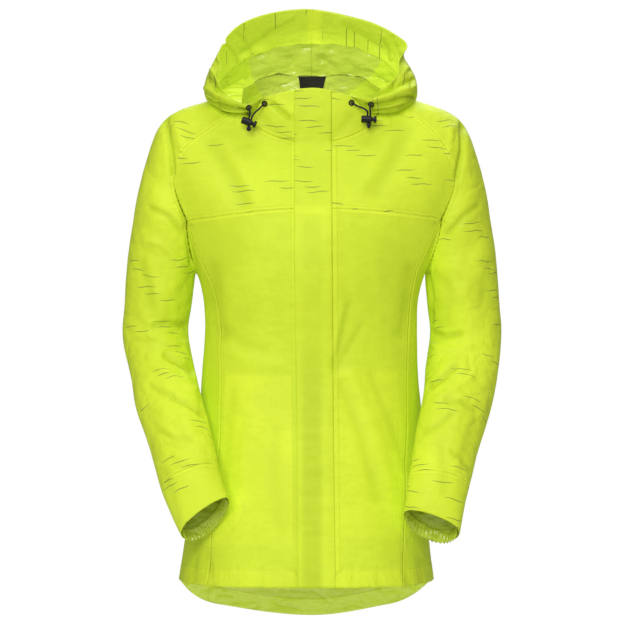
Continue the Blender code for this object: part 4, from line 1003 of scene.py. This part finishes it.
def paintCloth(mesh, trough, calm):  # calm: the way the cloth faced before it was folded
    places, _, belongs = readMesh(mesh)
    on = partial(partOf, belongs)
    spots = photoPlace(places)
    across, down = spots.T
    toFront = rise(-calm[:, 1], 0.0, 0.3)
    tone = np.zeros(len(places))
    at = on("front_lower") & (down > shading["pockets"])
    fade = 1 - rise(down[at], *shading["pocketsFade"])
    for outline, soft, strength in brightAreas:
        shape = rise(insideOutline(spots[at], outline), -soft, soft)
        tone[at] = np.maximum(tone[at], strength * shape * (0.45 + 0.55 * fade))
    flap = on("storm_flap")
    start, end = shading["flapTurn"]
    band = rise(down, *start) * (1 - rise(down, *end))
    tone[flap] = np.maximum(0.22 * rise(down[flap], *shading["flapTop"]), band[flap] * 0.85)
    # painted shade in the troughs of the folds
    dark = np.clip(-trough / 12, 0, 0.30)
    centre, half = shading["flapMiddleAcross"]
    start, end = shading["flapMiddle"]
    middle = np.exp(-(((across - centre) / half) ** 6))
    middle *= 0.35 * rise(down, *start) + 0.65 * rise(down, *end)
    dark[flap] += 0.30 * middle[flap]
    # the flap's free edge casts a thin shadow
    centre, half = shading["flapShadowAcross"]
    beside = np.exp(-(((across - centre) / half) ** 2)) * rise(down, *shading["flapShadow"])
    dark += 0.22 * beside * on("front_lower", "front_yoke") * ~flap
    yoke, sleeve, hood = on("front_yoke", "collar"), on("sleeve"), on("hood_")
    tone[yoke] = np.maximum(tone[yoke], 0.25)
    tone[on("cuff_right", "cuff_left")] = 0.35
    tone[on("cuff_elastic")] = 0.6
    tone[sleeve] = np.maximum(tone[sleeve], 0.45)
    # the sides fall into shadow towards the hem
    side = on("side_panel", "front_lower") * (1 - rise(calm[:, 1], -0.30, 0.60))
    dark += side * rise(np.abs(calm[:, 0]), 0.30, 1.2) * (0.10 + 0.40 * rise(down, *shading["sides"]))
    # painted shade on the hood's outer lobes, deeper where they face down
    lobes = on("hood_right", "hood_left") * rise(down, *shading["hood"]) * toFront
    dark += lobes * (0.14 + 0.30 * rise(-calm[:, 2], -0.5, 0.5))
    # how much of the hood's inside shows the facing, and how crumpled each part is
    opening = insideOutline(spots, facingInside)
    lining = rise(-opening, -0.5, 0.5) * (down < shading["facingEnd"])
    arms = on("cuff", "sleeve")
    lining = np.maximum(lining, 0.85 * arms * (down > shading["armsLining"]))
    # painted shade on the inside of the sleeves and cuffs, fading out towards the shoulders and a little at
    # the cuffs' openings
    hollow = arms * (0.70 + 0.30 * (1 - rise(down, *shading["armsEnd"]))) * rise(down, *shading["armsTop"])
    centre, half = shading["tapeAcross"]
    tape = np.exp(-(((across - centre) / half) ** 6)) * (down < shading["tapeEnd"])
    tone = np.maximum(tone, 0.9 * tape * on("hood_facing"))
    centre, half = shading["elbow"]
    elbows = np.exp(-(((down - centre) / half) ** 2)) * sleeve
    hem = rise(down, *shading["hem"]) * on("front_", "side_panel", "back_panel")
    share = 0.80 - 0.30 * sleeve + 0.15 * hood
    seamAway, seamRun = awayFromLines(edgeEnds[edgeKinds < 3], on(*bodyPieces))
    edgeAway, edgeRun = np.full(len(places), measuring["farthest"]), np.zeros(len(places))
    for group in [bodyPieces] + [[name] for name in pieceNames[len(bodyPieces):]]:
        numbers = [number for number, name in enumerate(pieceNames) if name in group]
        wanted = belongs[:, numbers].any(axis=1)
        away, along = awayFromLines(edgeEnds[(edgeKinds == 3) & np.isin(edgeOwner, numbers)], wanted)
        edgeAway[wanted], edgeRun[wanted] = away[wanted], along[wanted]
    edgeAway[flap | hood | arms | on("collar", "front_zip", "pocket")] = measuring["farthest"]
    painted = {
        "hollow": np.clip(hollow, 0, 1),
        "lining": lining,
        "crumple": 0.14 + 0.85 * hood + 0.45 * sleeve + 0.35 * elbows + 0.35 * hem,
        "printShare": share * (1 - flap * rise(down, *shading["flapUnprinted"])),
        "tone": np.clip(tone, 0, 1),
        "dark": np.clip(dark, 0, 0.95),
        "seamAway": seamAway, "seamRun": seamRun, "edgeAway": edgeAway, "edgeRun": edgeRun,
    }
    for name, values in painted.items():
        mesh.attributes.new(name, "FLOAT", "POINT").data.foreach_set("value", np.asarray(values, np.float32))
    return np.flatnonzero(seamAway > measuring["onSeam"])


calmNormals = readMesh(whole)[1]
troughs = foldCloth(whole)
spotsNow = readMesh(whole)[0]
# The wall thins out on the seams, so that the insides of two pieces meet there too.
awayFromSeams = paintCloth(whole, troughs, calmNormals)
jacket.vertex_groups.new(name="fullWall").add(awayFromSeams.tolist(), 1.0, "REPLACE")
print("folds pressed and seams measured")

# What each piece was cut to: width and length as it lies flat, and how the cloth is held.
cuts = {
    "front_yoke": (0.199, 0.167, "stretched"), "front_lower": (0.190, 0.528, "hung"),
    "side_panel": (0.222, 0.552, "hung"), "back_panel": (0.378, 0.800, "hung"),
    "sleeve_front": (0.181, 0.632, "hung"), "sleeve_back": (0.189, 0.692, "hung"),
    "cuff_elastic": (0.128, 0.0185, "gathered"), "cuff_": (0.246, 0.091, "gathered"),
    "collar": (0.083, 0.077, "stretched"), "hood_facing": (0.302, 0.141, "draped"),
    "hood_right": (0.322, 0.298, "draped"), "hood_left": (0.283, 0.339, "draped"),
    "pocket_bag": (0.112, 0.264, "hung"), "neck_label": (0.0402, 0.0236, "hung"),
    "storm_flap": (0.0562, 0.703, "hung"), "front_zip": (0.0192, 0.703, "hung"),
}


def partCloth(obj):
    # Parts the garment into its pieces and gives each its wall and finish.
    for name in pieceNames:
        obj.data.materials.append(bpy.data.materials.new("piece_" + name))
    editWhole(obj, bpy.ops.mesh.separate, type="MATERIAL")
    for piece in [item for item in bpy.context.scene.objects if item.type == "MESH"]:
        marker = piece.data.materials[0].name if piece.data.materials else ""
        if marker.startswith("piece_"):
            finishPiece(piece, marker.removeprefix("piece_"))


def finishPiece(piece, name):
    words = name.split("_")
    piece.name = words[0] + "".join(word.capitalize() for word in words[1:])
    piece.data.name = piece.name
    finish, facing = clothPieces[name][1], name.startswith("hood_facing")
    sides = [finishes[finish], finishes["label" if finish == "label" else "inside"]]
    piece.data.materials.clear()
    for side in reversed(sides) if facing else sides:
        piece.data.materials.append(side)
    piece.data.polygons.foreach_set("material_index", np.zeros(len(piece.data.polygons), np.int32))
    wall = piece.modifiers.new("wall", "SOLIDIFY")
    walls = cloth["wall"].items()
    wall.thickness = next((thick for start, thick in walls if name.startswith(start)), cloth["plainWall"])
    wall.offset = -1
    wall.use_quality_normals = True
    wall.vertex_group = "fullWall"
    wall.thickness_vertex_group = cloth["seamWall"]
    wall.material_offset = 1
    wall.material_offset_rim = 0 if facing else 1
    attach(piece, "jacket")
    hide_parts(name)
    width, length, held = next(cut for key, cut in cuts.items() if name.startswith(key))
    area = min(flatSizes[name][2], width * length)


partCloth(jacket)
print("cloth parted into", len(pieceNames), "pieces")

trimFinishes = {"lock_": "plastic", "eyelet_": "plastic", "cord_knot": "cord", "hanger_loop": "cord"}
for name, node in nodes.items():
    for key, finish in trimFinishes.items():
        if name.startswith(key):
            for place in node.material_slots:
                place.material = finishes[finish]

studio = {
    "floor": -0.93, "size": 1.25, "pale": (0.93, 0.93, 0.93), "shade": (0.88, 0.88, 0.88),
    "room": 0.22, "white": (1, 1, 1, 1),
    "lamps": (  # name, place, what it points at, size, power
        ("front", (-0.55, -3.4, 0.95), (0, 0, -0.3), (2.0, 1.4), 82),
        ("top", (0.2, -0.5, 2.6), (0, 0, -0.2), (2.2, 1.6), 30),
        ("back", (0.5, 2.6, 1.9), (0, 0, -0.3), (2.4, 1.8), 46),
    ),
}


def makeFloor():
    bm = bmesh.new()
    bmesh.ops.create_circle(bm, cap_ends=True, radius=studio["size"], segments=96)
    bmesh.ops.translate(bm, verts=bm.verts, vec=(0, 0, studio["floor"]))
    mesh = bpy.data.meshes.new("floor")
    bm.to_mesh(mesh)
    bm.free()
    shader = Shader("paleFloor", Roughness=0.9, Specular_IOR_Level=0.1)
    soft = shader.noise(shader.spot(), 3.0)
    shader.use("Base Color", shader.mix(soft * 0.04, studio["pale"], studio["shade"]))
    mesh.materials.append(shader.material)
    addObject("floor", mesh)


def makeLamp(name, place, target, size, power):
    lamp = addObject(name, bpy.data.lights.new(name, "AREA"))
    lamp.data.shape = "RECTANGLE"
    lamp.data.size, lamp.data.size_y = size
    lamp.data.energy = power
    lamp.location = place
    lamp.rotation_euler = (Vector(target) - Vector(place)).to_track_quat("-Z", "Y").to_euler()


makeFloor()
world = bpy.data.worlds.new("studio")
world.use_nodes = True
sky = world.node_tree
room, backdrop = sky.nodes["Background"], sky.nodes.new("ShaderNodeBackground")
seen, both = sky.nodes.new("ShaderNodeLightPath"), sky.nodes.new("ShaderNodeMixShader")
room.inputs["Color"].default_value = studio["white"]
room.inputs["Strength"].default_value = studio["room"]
backdrop.inputs["Color"].default_value = studio["white"]  # brighter than the room's light
sky.links.new(seen.outputs["Is Camera Ray"], both.inputs[0])
sky.links.new(room.outputs[0], both.inputs[1])
sky.links.new(backdrop.outputs[0], both.inputs[2])
sky.links.new(both.outputs[0], sky.nodes["World Output"].inputs[0])
bpy.context.scene.world = world
for lamp in studio["lamps"]:
    makeLamp(*lamp)
bpy.context.scene.view_settings.view_transform = "Standard"
print("studio lit")
